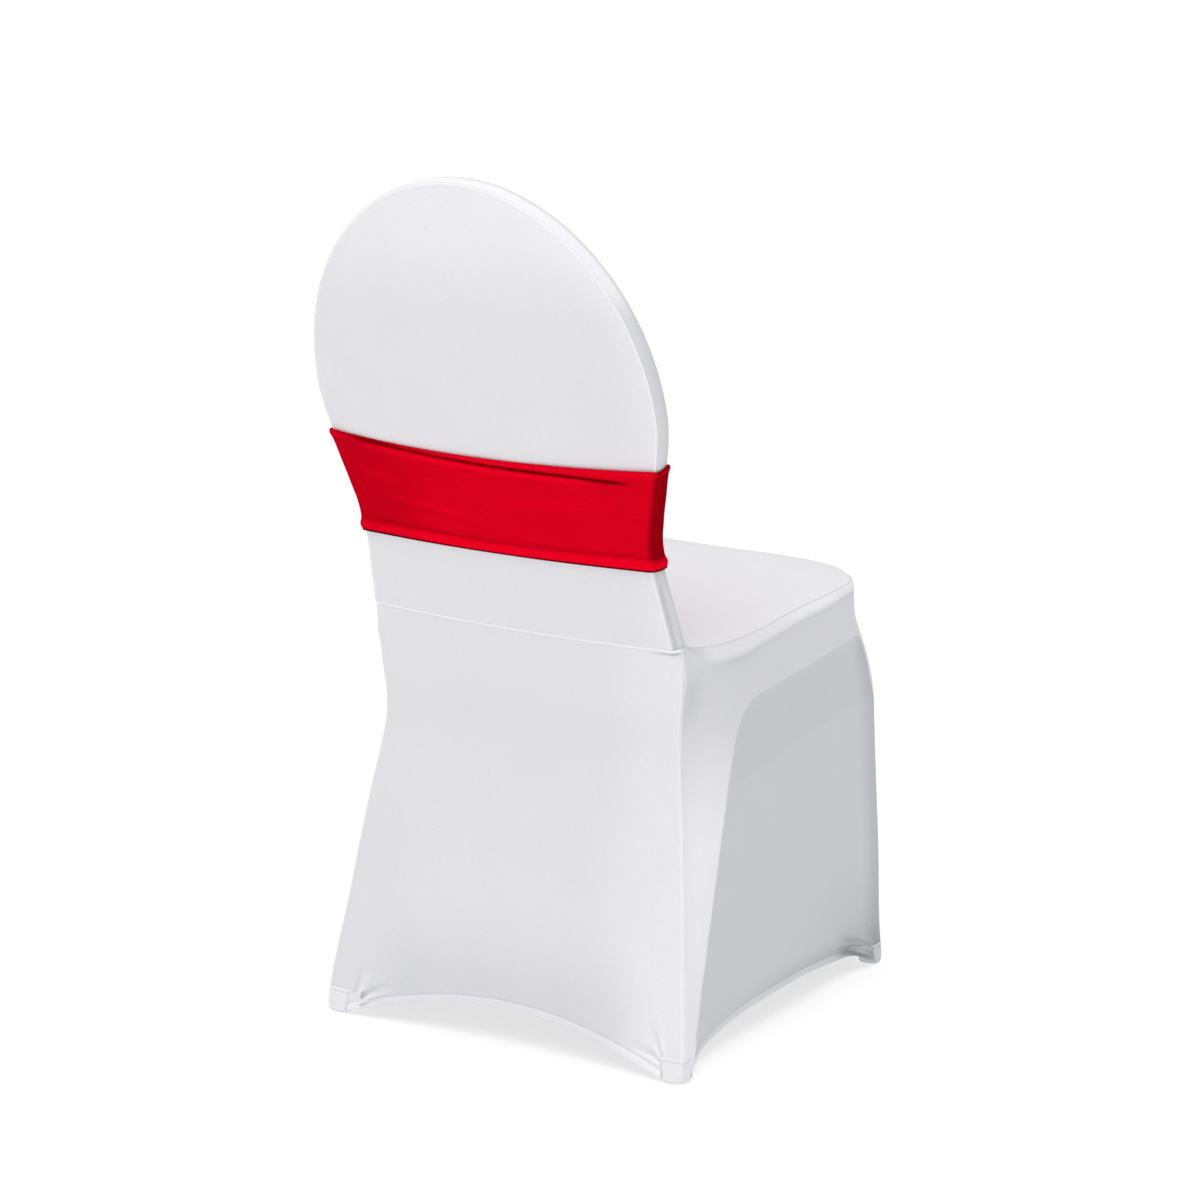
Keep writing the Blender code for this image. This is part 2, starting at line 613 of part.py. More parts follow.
def add_pocket(name, side, rear):
    """A cloth cup with a flat floor, open at the top, that the chair's foot stands in."""
    levels = [(0.0, POCKET_EDGE), (POCKET_EDGE, 0.0), (POCKET_HEIGHT, 0.0)]
    levels += [(POCKET_HEIGHT, POCKET_WALL), (POCKET_FLOOR, POCKET_WALL)]
    points = []
    for z, inward in levels:
        x0, x1, y0, y1 = pocket_span(z, rear)
        radius = max(POCKET_ROUND - inward, POCKET_ROUND_LEAST)
        ring = rounded_corners(x0 + inward, x1 - inward, y0 + inward, y1 - inward, radius)
        points += [(side * x, y, z) for x, y in ring]
    count = len(points) // len(levels)
    faces = [list(range(count))[::-1], [k + count * (len(levels) - 1) for k in range(count)]]
    for level in range(len(levels) - 1):
        low, high = level * count, (level + 1) * count
        for k in range(count):
            n = (k + 1) % count
            faces.append([low + k, low + n, high + n, high + k])
    if side < 0:
        faces = [face[::-1] for face in faces]
    return add_object(name, points, faces, WHITE, 0.75, crease=POCKET_CREASE)


def hood_ring(height, drop):
    """The back's outline at one height, counter-clockwise from above, with how far the sash clears it."""
    u = np.linspace(-1, 1, BACK_STEPS + 1)
    reach = float(half_width(height))
    z = height - drop * (1 - u**2)
    x = reach * u
    y = edge_y(z) + dome(x, z, BACK["bulge"](z), ARCH_BULGE)
    clear = SASH_GAP + (SASH_EDGE_GAP - SASH_GAP) * np.abs(u)**SASH_EDGE_POWER
    ring = [(x[k], y[k], z[k], clear[k]) for k in range(BACK_STEPS, -1, -1)]
    front_y = edge_y(height) - GUSSET
    sides = [(share, GUSSET_ROUND * 4 * share * (1 - share)) for share in GUSSET_STEPS[1:-1]]
    for share, swell in sides:
        ring.append((-reach - swell, float(edge_y(height)) - GUSSET * share, height, SASH_EDGE_GAP))
    inner_y = front_y + INSIDE_SAG * (1 - u**2)
    ring += [(x[k], inner_y[k], height, clear[k]) for k in range(BACK_STEPS + 1)]
    for share, swell in reversed(sides):
        ring.append((reach + swell, float(edge_y(height)) - GUSSET * share, height, SASH_EDGE_GAP))
    return np.array(ring)


def grown(ring, extra):
    """A ring moved out, level with itself, by its own clearance and by extra."""
    flat = ring[:, :2]
    ahead = np.roll(flat, -1, 0) - flat
    ahead /= np.linalg.norm(ahead, axis=1)[:, None]
    behind = np.roll(ahead, 1, 0)
    normal = np.stack([(ahead + behind)[:, 1], -(ahead + behind)[:, 0]], 1)
    normal /= np.linalg.norm(normal, axis=1)[:, None]
    square = np.stack([ahead[:, 1], -ahead[:, 0]], 1)
    lean = np.clip((normal * square).sum(1), RING_LEAST, 1)
    moved = flat + normal * ((ring[:, 3] + extra) / lean)[:, None]
    return np.column_stack([moved, ring[:, 2]])


def add_sash():
    """One closed loop of red cloth, thicker where its edges are folded and rolled."""
    outside = []
    inside = []
    for share, thick in SASH_PROFILE:
        height = SASH_TOP + (SASH_BOTTOM - SASH_TOP) * share
        ring = hood_ring(height, SASH_SAG * (1 - share))
        outside.append(grown(ring, thick))
        inside.append(grown(ring, 0))
    layers = outside + inside[::-1]
    count = len(layers[0])
    points = np.vstack(layers)
    faces = []
    for level in range(len(layers)):
        high, low = level * count, (level + 1) % len(layers) * count
        for k in range(count):
            n = (k + 1) % count
            faces.append([high + k, low + k, low + n, high + n])
    return add_object("sash", points, faces, RED, 0.6)


def main():
    for old in list(bpy.data.objects):
        bpy.data.objects.remove(old)

    outer, inside = back_sheets()
    side = side_sheet()
    rear = rear_sheet(outer)
    front = front_sheet()
    seat = seat_sheet(inside, side, front)
    pocket = DOWN.index(POCKET_ROW)
    near = ACROSS_SIDE.index(8)

    cover = Cover()
    cover.add("back_upper", outer, flip=True)
    cover.add("gusset", gusset_sheet(), flip=True)
    cover.add("inside_back", inside, flip=False)
    cover.add("seat_top", seat, flip=True)
    cover.add("back_skirt", rear, False, lambda r, c: r < pocket or 1 < c < BACK_STEPS + 2)
    cover.add("front_skirt", front, True, lambda r, c: r < pocket or 0 < c < BACK_STEPS - 1)
    cover.add("side_skirt_left", side, False, lambda r, c: r < pocket or 1 < c < near)
    cover.add("side_skirt_right", mirrored(side), True, lambda r, c: r < pocket or 1 < c < near)
    inner = cover.inner_points()
    for name in cover.panels:
        add_panel(cover, name, inner)

    for end in ("rear", "front"):
        for hand, sign in (("left", 1), ("right", -1)):
            add_pocket(f"foot_pocket_{end}_{hand}", sign, end == "rear")
    add_sash()


main()
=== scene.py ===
"""Looks of the stretch chair cover: fine sheets of white knit with sewn seams, rolled hems and a red sash.

The sitter faces -Y, +X is the sitter's left and the floor is z = 0, in metres. The shape tables give y from
the waist line; FRAME_Y moves everything so that x = y = 0 is the cover's middle.
"""

import math
import bpy
import numpy as np
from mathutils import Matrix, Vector


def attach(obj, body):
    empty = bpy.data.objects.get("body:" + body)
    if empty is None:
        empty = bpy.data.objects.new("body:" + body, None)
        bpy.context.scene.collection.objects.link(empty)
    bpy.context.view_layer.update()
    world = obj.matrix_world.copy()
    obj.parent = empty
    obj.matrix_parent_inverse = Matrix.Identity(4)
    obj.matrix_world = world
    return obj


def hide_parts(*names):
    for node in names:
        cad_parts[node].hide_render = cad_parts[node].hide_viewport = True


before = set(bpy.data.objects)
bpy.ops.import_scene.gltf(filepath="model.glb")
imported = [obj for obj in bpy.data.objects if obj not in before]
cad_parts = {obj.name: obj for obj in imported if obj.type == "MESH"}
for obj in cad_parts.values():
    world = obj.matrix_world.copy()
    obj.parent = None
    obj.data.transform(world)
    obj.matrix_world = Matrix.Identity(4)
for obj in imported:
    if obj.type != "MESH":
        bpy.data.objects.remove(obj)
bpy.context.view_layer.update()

# Cloth
CLOTH = 0.0009
FRAME_Y = 0.1351

# Back: round top, side outline, lean and the bulge of the outer panel
WAIST = 0.4515
WAIST_TILT = 0.0018
ARCH_CENTRE = 0.7000
ARCH_HALF_WIDTH = 0.2015
ARCH_RISE = 0.2300
ARCH_BULGE = 0.0290
SHOULDER = math.radians(45)
LEAN = 0.263
BACK_COLUMNS = ("height", "half_width", "edge_y", "bulge")
BACK_SECTIONS = (
    (0.4515, 0.1800, 0.0075, 0.0145),
    (0.4950, 0.1762, 0.0216, 0.0146),
    (0.5376, 0.1726, 0.0353, 0.0150),
    (0.5650, 0.1722, 0.0430, 0.0175),
    (0.5925, 0.1780, 0.0507, 0.0205),
    (0.6180, 0.1845, 0.0577, 0.0232),
    (0.6471, 0.1926, 0.0659, 0.0260),
    (0.7000, 0.2015, 0.0798, 0.0290),
    (0.7500, 0.1967, 0.0930, 0.0276),
)

# Gusset between the outer and the inside panel
GUSSET = 0.0220
GUSSET_LIFT = 0.0026
GUSSET_ROUND = 0.0022
GUSSET_ROUND_WAIST = 0.0035
GUSSET_MIDDLE = 0.4
WAIST_FLARE = 0.0020
INSIDE_SAG = 0.0040
WAIST_REACH = 0.0800

# Seat: crown above its seams, and (x, y, z) of the side seam from the back to the front corner
CROWN = 0.0115
SEAT_SEAM = (
    (0.2020, -0.0400, 0.4466),
    (0.2085, -0.1110, 0.4458),
    (0.2072, -0.1630, 0.4463),
    (0.2052, -0.2150, 0.4475),
    (0.2055, -0.2670, 0.4481),
    (0.2047, -0.3190, 0.4487),
    (0.1990, -0.3460, 0.4490),
    (0.1870, -0.3640, 0.4490),
)

# Skirt sections from the top seam down to the hem
SIDE_REAR_COLUMNS = ("down", "rear_z", "rear_x", "rear_y", "leg_x", "light_x", "line_x", "line_y")
SIDE_REAR_SECTIONS = (
    (0.000, 0.4515, 0.1852, -0.0013, 0.1820, 0.2020, 0.2085, -0.1110),
    (0.039, 0.4340, 0.1858, -0.0035, 0.1930, 0.2075, 0.2112, -0.1070),
    (0.097, 0.4080, 0.1850, -0.0062, 0.1920, 0.2060, 0.2100, -0.0990),
    (0.177, 0.3720, 0.1812, -0.0080, 0.1885, 0.2035, 0.2088, -0.0885),
    (0.260, 0.3350, 0.1788, -0.0099, 0.1860, 0.1990, 0.2072, -0.0775),
    (0.382, 0.2800, 0.1850, -0.0020, 0.1895, 0.1990, 0.2068, -0.0610),
    (0.561, 0.2000, 0.1970, 0.0130, 0.1992, 0.2048, 0.2088, -0.0392),
    (0.739, 0.1200, 0.2070, 0.0275, 0.2080, 0.2102, 0.2115, -0.0155),
    (0.945, 0.0278, 0.2182, 0.0463, 0.2181, 0.2160, 0.2142, 0.0105),
    (0.984, 0.0100, 0.2196, 0.0486, 0.2192, 0.2168, 0.2148, 0.0150),
    (1.000, 0.0030, 0.2200, 0.0493, 0.2196, 0.2170, 0.2150, 0.0165),
)
SIDE_FRONT_COLUMNS = ("down", "front_z", "hollow_x", "front_x", "near_x", "corner_x", "corner_y")
SIDE_FRONT_SECTIONS = (
    (0.000, 0.4490, 0.2052, 0.2047, 0.1990, 0.1870, -0.3640),
    (0.039, 0.4415, 0.2115, 0.2085, 0.2015, 0.1905, -0.3665),
    (0.097, 0.4140, 0.2110, 0.2085, 0.2025, 0.1922, -0.3690),
    (0.177, 0.3890, 0.2105, 0.2088, 0.2045, 0.1955, -0.3745),
    (0.260, 0.3450, 0.2088, 0.2085, 0.2062, 0.2020, -0.3900),
    (0.382, 0.2850, 0.2082, 0.2088, 0.2078, 0.2060, -0.3965),
    (0.561, 0.2020, 0.2090, 0.2105, 0.2100, 0.2090, -0.3995),
    (0.739, 0.1200, 0.2102, 0.2125, 0.2126, 0.2120, -0.4025),
    (0.945, 0.0278, 0.2102, 0.2136, 0.2150, 0.2150, -0.4048),
    (0.984, 0.0100, 0.2100, 0.2138, 0.2156, 0.2160, -0.4066),
    (1.000, 0.0030, 0.2098, 0.2138, 0.2158, 0.2164, -0.4074),
)
HEM_HEIGHT = 0.0030
SKIRT_DROP = 0.4485
POCKET_ROW = 0.952
FRONT_POCKET_ROW = 0.960
LEG_DEPTH = 0.0205
WAIST_DEPTH = 0.0127
DEPTH_FADE = 0.03
TILT_FADE = 0.1
SEAM_FADE = 0.055
FRONT_REACH = 0.045
NEAR_REACH = 0.018

# Back and front skirts between the legs
REAR_COLUMNS = ("down", "leg_in", "leg_y", "bulge")
REAR_SECTIONS = (
    (0.000, 0.0052, 0.0088, 0.0145),
    (0.039, 0.0100, 0.0070, 0.0138),
    (0.097, 0.0150, 0.0042, 0.0115),
    (0.177, 0.0200, 0.0020, 0.0090),
    (0.260, 0.0235, 0.0010, 0.0062),
    (0.382, 0.0250, 0.0006, 0.0030),
    (0.561, 0.0250, 0.0004, -0.0020),
    (0.739, 0.0250, 0.0002, -0.0060),
    (0.945, 0.0250, 0.0000, -0.0098),
    (1.000, 0.0250, 0.0000, -0.0110),
)
FRONT_COLUMNS = ("down", "leg_in", "leg_y", "bend_y", "middle_y")
FRONT_SECTIONS = (
    (0.000, 0.0170, -0.3810, -0.4015, -0.4045),
    (0.039, 0.0175, -0.3850, -0.4050, -0.4090),
    (0.097, 0.0180, -0.3885, -0.4062, -0.4105),
    (0.177, 0.0190, -0.3925, -0.4060, -0.4100),
    (0.260, 0.0210, -0.3985, -0.4045, -0.4065),
    (0.382, 0.0220, -0.3985, -0.4010, -0.4020),
    (0.561, 0.0220, -0.4000, -0.3998, -0.3985),
    (0.739, 0.0220, -0.4027, -0.3995, -0.3965),
    (0.945, 0.0220, -0.4048, -0.3985, -0.3945),
    (1.000, 0.0220, -0.4072, -0.3985, -0.3935),
)
FRONT_BEND = 0.74

# Hem arches, and the hollow between the legs under the side rail
REAR_ARCH = 0.0370
ARCH_POWER = 1.9
SIDE_ARCH = ((0.0, 0.0), (0.1, 0.0085), (0.25, 0.0190), (0.4, 0.0260), (0.55, 0.0285), (0.7, 0.0265),
             (0.85, 0.0210), (0.94, 0.0140), (1.0, 0.0))
ARCH_START = 0.55
HOLLOW = 0.0070
HOLLOW_SOFT = 0.0200
HOLLOW_CORNER = 0.0400
HOLLOW_TOP = ((-0.40, 0.3920), (-0.3035, 0.3869), (-0.2129, 0.3816), (-0.1186, 0.3762), (-0.05, 0.3700))
HOLLOW_REAR = ((0.0, 0.0193), (0.0873, -0.0043), (0.2155, -0.0436), (0.3381, -0.0788), (0.45, -0.1130))
HOLLOW_FRONT = -0.3800
# Corners and front line of the unbacked cloth's darker tone: the sheer knit's own darkening with painted shade of the
# dark inside
TONE_CORNER = 0.0300
FRONT_CORNER = 0.0260
TONE_FRONT = ((0.0, -0.4150), (0.27, -0.4050), (0.33, -0.3880), (0.37, -0.3740), (0.40, -0.3600))

# Foot pockets
POCKET_HEIGHT = 0.0270
POCKET_PROUD = 0.0007
POCKET_ROUND = 0.0034
FRONT_POCKET_WIDTH = 0.0222
FRONT_POCKET_DEPTH = 0.0182
FRONT_POCKET_HEIGHT = 0.0235
REAR_POCKET_WIDTH = 0.0252
REAR_POCKET_DEPTH = 0.0207

# Sash
SASH_TOP = 0.6471
SASH_BOTTOM = 0.5376
SASH_SAG = 0.0030
SASH_GAP = 0.0004
SASH_EDGE_GAP = 0.0020
SASH_EDGE_POWER = 6
SASH_SIDE_RISE = 0.0035

# Seams and hems: (width, height) of the rounded edge beside a seam, and the hem's band and roll
WELT = (0.0036, 0.0007)
CORNER_WELT = (0.0040, 0.0005)
FINE_WELT = (0.0028, 0.0005)
HEM_BAND = 0.0068
HEM_RAISE = 0.0009
HEM_GROOVE = 0.0003
HEM_ROLL = 0.0013
# Tone per metre of fold height: painted shade in fold troughs and painted highlight on fold ridges
FOLD_TONE = 260

# Full colours at tone 1 and darker colours at tone 0: the tone paints shade and highlights, besides the sheer knit's
# own darkening where nothing backs it
WHITE = (0.949, 0.938, 0.966, 1.0)
SHADE = (0.518, 0.531, 0.550, 1.0)
RED = (0.950, 0.0008, 0.019, 1.0)
DARK_RED = (0.230, 0.0002, 0.003, 1.0)


# Curves
def spline(knots, values):
    """A natural cubic curve through values at knots, running straight on past its ends."""
    x = np.asarray(knots, float)
    y = np.asarray(values, float)
    flat = y.reshape(len(x), -1)
    step = np.diff(x)
    rise = np.diff(flat, axis=0) / step[:, None]
    system = np.eye(len(x))
    right = np.zeros_like(flat)
    for i in range(1, len(x) - 1):
        system[i, i - 1:i + 2] = (step[i - 1], 2 * (step[i - 1] + step[i]), step[i])
        right[i] = 6 * (rise[i] - rise[i - 1])
    bend = np.linalg.solve(system, right)

    def at(t):
        t = np.asarray(t, float)
        inside = np.clip(t, x[0], x[-1])
        i = np.clip(np.searchsorted(x, inside, side="right") - 1, 0, len(x) - 2).ravel()
        h = step[i][:, None]
        p = (inside.ravel() - x[i])[:, None]
        q = h - p
        value = (bend[i] * q**3 + bend[i + 1] * p**3) / (6 * h)
        value += (flat[i] / h - bend[i] * h / 6) * q + (flat[i + 1] / h - bend[i + 1] * h / 6) * p
        slope = (bend[i + 1] * p**2 - bend[i] * q**2) / (2 * h) + rise[i] - (bend[i + 1] - bend[i]) * h / 6
        value += slope * (t - inside).ravel()[:, None]
        return value.reshape(t.shape + y.shape[1:])

    return at


def curves(names, rows):
    """One smooth curve for each named column of a table, read by its first column."""
    table = np.array(rows)
    return {name: spline(table[:, 0], table[:, i]) for i, name in enumerate(names)}


BACK = curves(BACK_COLUMNS, BACK_SECTIONS)
SKIRT = curves(SIDE_REAR_COLUMNS, SIDE_REAR_SECTIONS) | curves(SIDE_FRONT_COLUMNS, SIDE_FRONT_SECTIONS)
REAR = curves(REAR_COLUMNS, REAR_SECTIONS)
FRONT = curves(FRONT_COLUMNS, FRONT_SECTIONS)
RAIL_LINE = spline(*zip(*HOLLOW_TOP))
LEG_LINE = spline(*zip(*HOLLOW_REAR))
FRONT_LINE = spline(*zip(*TONE_FRONT))


def smooth(start, end, x):
    """0 at start, 1 at end, with an easy rise between."""
    t = np.clip((x - start) / (end - start), 0, 1)
    return t * t * (3 - 2 * t)


def steps(marks, pitch, fine, reach):
    """Values from the first mark to the last, close together (fine) within reach of each mark."""
    places = [marks[0]]
    while places[-1] < marks[-1]:
        here = places[-1]
        gap = min(abs(here - m) for m in marks)
        step = fine if gap < reach else min(pitch, fine + (gap - reach) * 0.35)
        ahead = [m for m in marks if m > here + 1e-9]
        left = ahead[0] - here
        if left < step * 1.4:
            step = left
        places.append(here + step)
    places[-1] = marks[-1]
    return np.array(places)


def run(grid, axis):
    """Length along a grid's lines from their first point."""
    lengths = np.linalg.norm(np.diff(grid, axis=axis), axis=2)
    start = np.zeros_like(np.take(lengths, [0], axis=axis))
    return np.cumsum(np.concatenate([start, lengths], axis=axis), axis=axis)


def normals(grid, wrap=False):
    """Unit normals of a grid of points, from its rows and columns."""
    if wrap:
        wide = np.concatenate([grid[:, -2:-1], grid, grid[:, 1:2]], axis=1)
        along = (wide[:, 2:] - wide[:, :-2]) / 2
    else:
        along = np.gradient(grid, axis=1)
    down = np.gradient(grid, axis=0)
    square = np.cross(along, down)
    return square / np.maximum(np.linalg.norm(square, axis=2, keepdims=True), 1e-12)


def welt(distance, size):
    """The rounded edge that a seam gives the cloth beside it, 0 on the seam itself."""
    width, height = size
    inside = np.clip(distance / width, 0, 1)
    return height * np.sin(np.pi * inside**0.8)**2 * (distance < width)


def folds(a, b, table):
    """Soft ridges and troughs (height below 0), each along a line of points in the panel's own two directions.

    Each row is height, half width, how it ends ("both" fades at both ends, "long" is deepest near its last
    point, "start" is strongest at its first) and its points.
    """
    total = np.zeros_like(a)
    for height, width, ends, line in table:
        line = np.array(line, float)
        legs = np.linalg.norm(np.diff(line, axis=0), axis=1)
        starts = np.concatenate([[0], np.cumsum(legs)])
        nearest = np.full(a.shape, np.inf)
        along = np.zeros_like(a)
        for p, q, start, leg in zip(line, line[1:], starts, legs):
            t = np.clip(((a - p[0]) * (q[0] - p[0]) + (b - p[1]) * (q[1] - p[1])) / leg**2, 0, 1)
            gap = np.hypot(a - p[0] - t * (q[0] - p[0]), b - p[1] - t * (q[1] - p[1]))
            closer = gap < nearest
            nearest = np.where(closer, gap, nearest)
            along = np.where(closer, start + t * leg, along)
        share = along / starts[-1]
        if ends == "both":
            fade = smooth(0, 0.4, share) * smooth(1, 0.6, share)
        elif ends == "long":
            fade = smooth(0, 0.18, share) * smooth(1, 0.93, share)
        else:
            fade = smooth(-0.05, 0.06, share) * (1 - share)
        total += height * np.exp(-(nearest / width)**2) * fade
    return total


def unevenness(a, b, height, seed):
    """Gentle, slow waves that keep a stretched sheet from looking machined."""
    dice = np.random.default_rng(seed)
    total = np.zeros_like(a)
    for _ in range(7):
        turn = dice.uniform(0, math.pi)
        length = dice.uniform(0.035, 0.12)
        phase = dice.uniform(0, 2 * math.pi)
        total += np.sin(2 * math.pi * (a * math.cos(turn) + b * math.sin(turn)) / length + phase)
    return total * height / 7


# Surfaces of the back
def half_width(z):
    reach = np.clip((z - ARCH_CENTRE) / ARCH_RISE, 0, 1)
    return np.where(z > ARCH_CENTRE, ARCH_HALF_WIDTH * np.sqrt(1 - reach**2), BACK["half_width"](z))


def edge_y(z):
    top = BACK["edge_y"](ARCH_CENTRE) + LEAN * (z - ARCH_CENTRE)
    return np.where(z > ARCH_CENTRE, top, BACK["edge_y"](z))


def dome(x, z, depth_below, depth_above):
    low = depth_below * (1 - (x / BACK["half_width"](z))**2)
    high = depth_above * (1 - ((z - ARCH_CENTRE) / ARCH_RISE)**2 - (x / ARCH_HALF_WIDTH)**2)
    return np.where(z > ARCH_CENTRE, high, low)


def outline(w):
    """(x, z) of the back's outer seam: w is 0 to 1 up the left side, 2 past the arch, 3 down the right."""
    w = np.asarray(w, float)
    shoulder = ARCH_CENTRE + ARCH_RISE * math.sin(SHOULDER)
    angle = SHOULDER + (w - 1) * (math.pi - 2 * SHOULDER)
    side = np.where(w < 1.5, 1.0, -1.0)
    share = np.where(w < 1.5, w, 3 - w)
    foot = WAIST + side * WAIST_TILT
    z = foot + (shoulder - foot) * share
    over = (w >= 1) & (w <= 2)
    x = np.where(over, ARCH_HALF_WIDTH * np.cos(angle), side * half_width(z))
    return x, np.where(over, ARCH_CENTRE + ARCH_RISE * np.sin(angle), z)


def outer_seam(w):
    x, z = outline(w)
    return np.stack([x, edge_y(z), z], -1)


def outward(w):
    ahead = np.stack(outline(np.minimum(w + 0.01, 3)), -1)
    behind = np.stack(outline(np.maximum(w - 0.01, 0)), -1)
    change = ahead - behind
    normal = np.stack([change[..., 1], 0 * change[..., 0], -change[..., 0]], -1)
    return normal / np.linalg.norm(normal, axis=-1, keepdims=True)


def above_waist(z):
    return np.clip((z - WAIST) / WAIST_REACH, 0, 1)


def inner_seam(w):
    x, z = outline(w)
    rise = above_waist(z)
    z = z + GUSSET_LIFT * rise
    flare = WAIST_FLARE * (1 - rise) * np.where(x > 0, 1, -1)
    return np.stack([x + flare, edge_y(z) - GUSSET, z], -1)


def gusset_point(w, share):
    """Points of the gusset, share of the way from the outer seam to the inner one."""
    w, share = np.broadcast_arrays(np.asarray(w, float), np.asarray(share, float))
    rise = above_waist(outline(w)[1])
    swell = GUSSET_ROUND * rise + GUSSET_ROUND_WAIST * (1 - rise)
    s = share[..., None]
    flat = outer_seam(w) * (1 - s) + inner_seam(w) * s
    return flat + outward(w) * (swell * 4 * share * (1 - share))[..., None]


def waist_point(u):
    """The waist seam between the outer back panel and the back skirt, from -X to +X."""
    u = np.asarray(u, float)
    x = u * half_width(WAIST)
    z = WAIST + WAIST_TILT * u
    return np.stack([x, edge_y(z) + dome(x, z, BACK["bulge"](z), ARCH_BULGE), z], -1)


def seat_rear(u):
    """The seam between the inside panel and the seat."""
    u = np.asarray(u, float)
    x = u * abs(inner_seam(0.0)[0])
    z = WAIST + WAIST_TILT * u + CROWN * (1 - u**4)
    return np.stack([x, edge_y(z) - GUSSET, z], -1)


def side_distance(x, z):
    """How far a place of the back panel is from its side and top seam."""
    low = half_width(z) - np.abs(x)
    reach = np.maximum(np.hypot(x / ARCH_HALF_WIDTH, (z - ARCH_CENTRE) / ARCH_RISE), 1e-6)
    slope = np.hypot(x / ARCH_HALF_WIDTH**2, (z - ARCH_CENTRE) / ARCH_RISE**2) / reach
    return np.clip(np.where(z > ARCH_CENTRE, (1 - reach) / np.maximum(slope, 1e-6), low), 0, None)


# Surfaces of the skirts
def frame_depth(y, z):
    """How far a place of the side lies inside the line of the frame, below 0 outside it."""
    top = RAIL_LINE(y) - z
    rear = LEG_LINE(z) - y
    front = y - HOLLOW_FRONT
    short = [np.clip(HOLLOW_CORNER - d, 0, None) for d in (top, rear, front)]
    return HOLLOW_CORNER - np.sqrt(short[0]**2 + short[1]**2 + short[2]**2)


def tone_depth(y, z):
    """As frame_depth, for the darker tone of unbacked cloth, the sheer knit's own darkening with painted shade of the
    dark inside: its corners are tighter than the form's.
    """
    top = RAIL_LINE(y) - z
    rear = LEG_LINE(z) - y
    front = y - FRONT_LINE(z)
    rear_corner = TONE_CORNER - np.hypot(np.clip(TONE_CORNER - top, 0, None), np.clip(TONE_CORNER - rear, 0, None))
    front_corner = FRONT_CORNER - np.hypot(np.clip(FRONT_CORNER - top, 0, None), np.clip(FRONT_CORNER - front, 0, None))
    return np.minimum(rear_corner, front_corner)


def hollow(y, z):
    return HOLLOW * (1 - np.exp(-np.clip(frame_depth(y, z), 0, None) / HOLLOW_SOFT))


def arch_share(down):
    return float(np.clip((down - ARCH_START) / (1 - ARCH_START), 0, 1))**2


def side_row(down, places):
    """One row of the side skirt at +X, at places 0 (rear corner) to 9 (front corner)."""
    at = {name: float(curve(down)) for name, curve in SKIRT.items()}
    depth = LEG_DEPTH + (WAIST_DEPTH - LEG_DEPTH) * math.exp(-down / DEPTH_FADE)
    leg_y = at["rear_y"] - depth
    light_y = (leg_y + at["line_y"]) / 2
    front_y = at["corner_y"] + FRONT_REACH
    near_y = at["corner_y"] + NEAR_REACH
    span = [at["line_y"] + (front_y - at["line_y"]) * k / 4 for k in (1, 2, 3)]
    y_places = [at["rear_y"], leg_y, light_y, at["line_y"], *span, front_y, near_y, at["corner_y"]]
    y = np.interp(places, range(10), y_places)
    knots = [at["corner_y"], near_y, front_y, span[1], at["line_y"], light_y, leg_y, at["rear_y"]]
    names = ("corner_x", "near_x", "front_x", "hollow_x", "line_x", "light_x", "leg_x", "rear_x")
    x = spline(knots, [at[name] for name in names])(y)
    share = (y - at["rear_y"]) / (at["corner_y"] - at["rear_y"])
    z = at["rear_z"] + (at["front_z"] - at["rear_z"]) * share
    between = np.clip((leg_y - y) / (leg_y - near_y), 0, 1)
    arch = spline(*zip(*SIDE_ARCH))
    z = z + arch_share(down) * np.clip(arch(between), 0, None)
    return np.stack([x - hollow(y, z), y, z], 1)


def side_seam(places, sign):
    """The side skirt's top edge: the gusset's foot, then the seat seam."""
    w = 0.0 if sign > 0 else 3.0
    turn = np.array([sign, 1, 1])
    start = inner_seam(w) * turn
    seam = spline([1, 2, 3, 4, 5, 6, 7, 8, 9], np.vstack([start, np.array(SEAT_SEAM)]))
    share = np.clip(GUSSET_MIDDLE + (1 - GUSSET_MIDDLE) * places, 0, 1)
    foot = gusset_point(w, share) * turn
    return np.where((places > 1)[:, None], seam(np.maximum(places, 1)), foot)


def blended(rows, downs, seam):
    """Rows of a skirt, led into the seam above them."""
    offset = seam - rows[0]
    fade = np.clip(1 - downs / SEAM_FADE, 0, 1)**1.6
    return rows + offset[None] * fade[:, None, None]


def rear_row(down, q):
    """One row of the back skirt: q is -1 to 1 between the legs and 2 at the corner seams."""
    at = {name: float(curve(down)) for name, curve in SKIRT.items()}
    rear = {name: float(curve(down)) for name, curve in REAR.items()}
    leg_x = at["rear_x"] - rear["leg_in"]
    u = np.clip(q, -1, 1)
    t = np.clip(np.abs(q) - 1, 0, 1)
    x = leg_x * u + np.sign(q) * rear["leg_in"] * t
    y = at["rear_y"] + rear["leg_y"] * np.cos(math.pi / 2 * t) + rear["bulge"] * (1 - u**2)
    lift = arch_share(down) * REAR_ARCH * (1 - np.abs(u)**ARCH_POWER)
    tilt = WAIST_TILT * u * (1 - t) * math.exp(-down / TILT_FADE)
    return np.stack([x, y, at["rear_z"] + lift + tilt], 1)


def rear_seam(q):
    t = np.clip(np.abs(q) - 1, 0, 1)
    foot = gusset_point(np.where(q > 0, 0.0, 3.0), GUSSET_MIDDLE * t)
    return np.where((np.abs(q) > 1)[:, None], foot, waist_point(np.clip(q, -1, 1)))


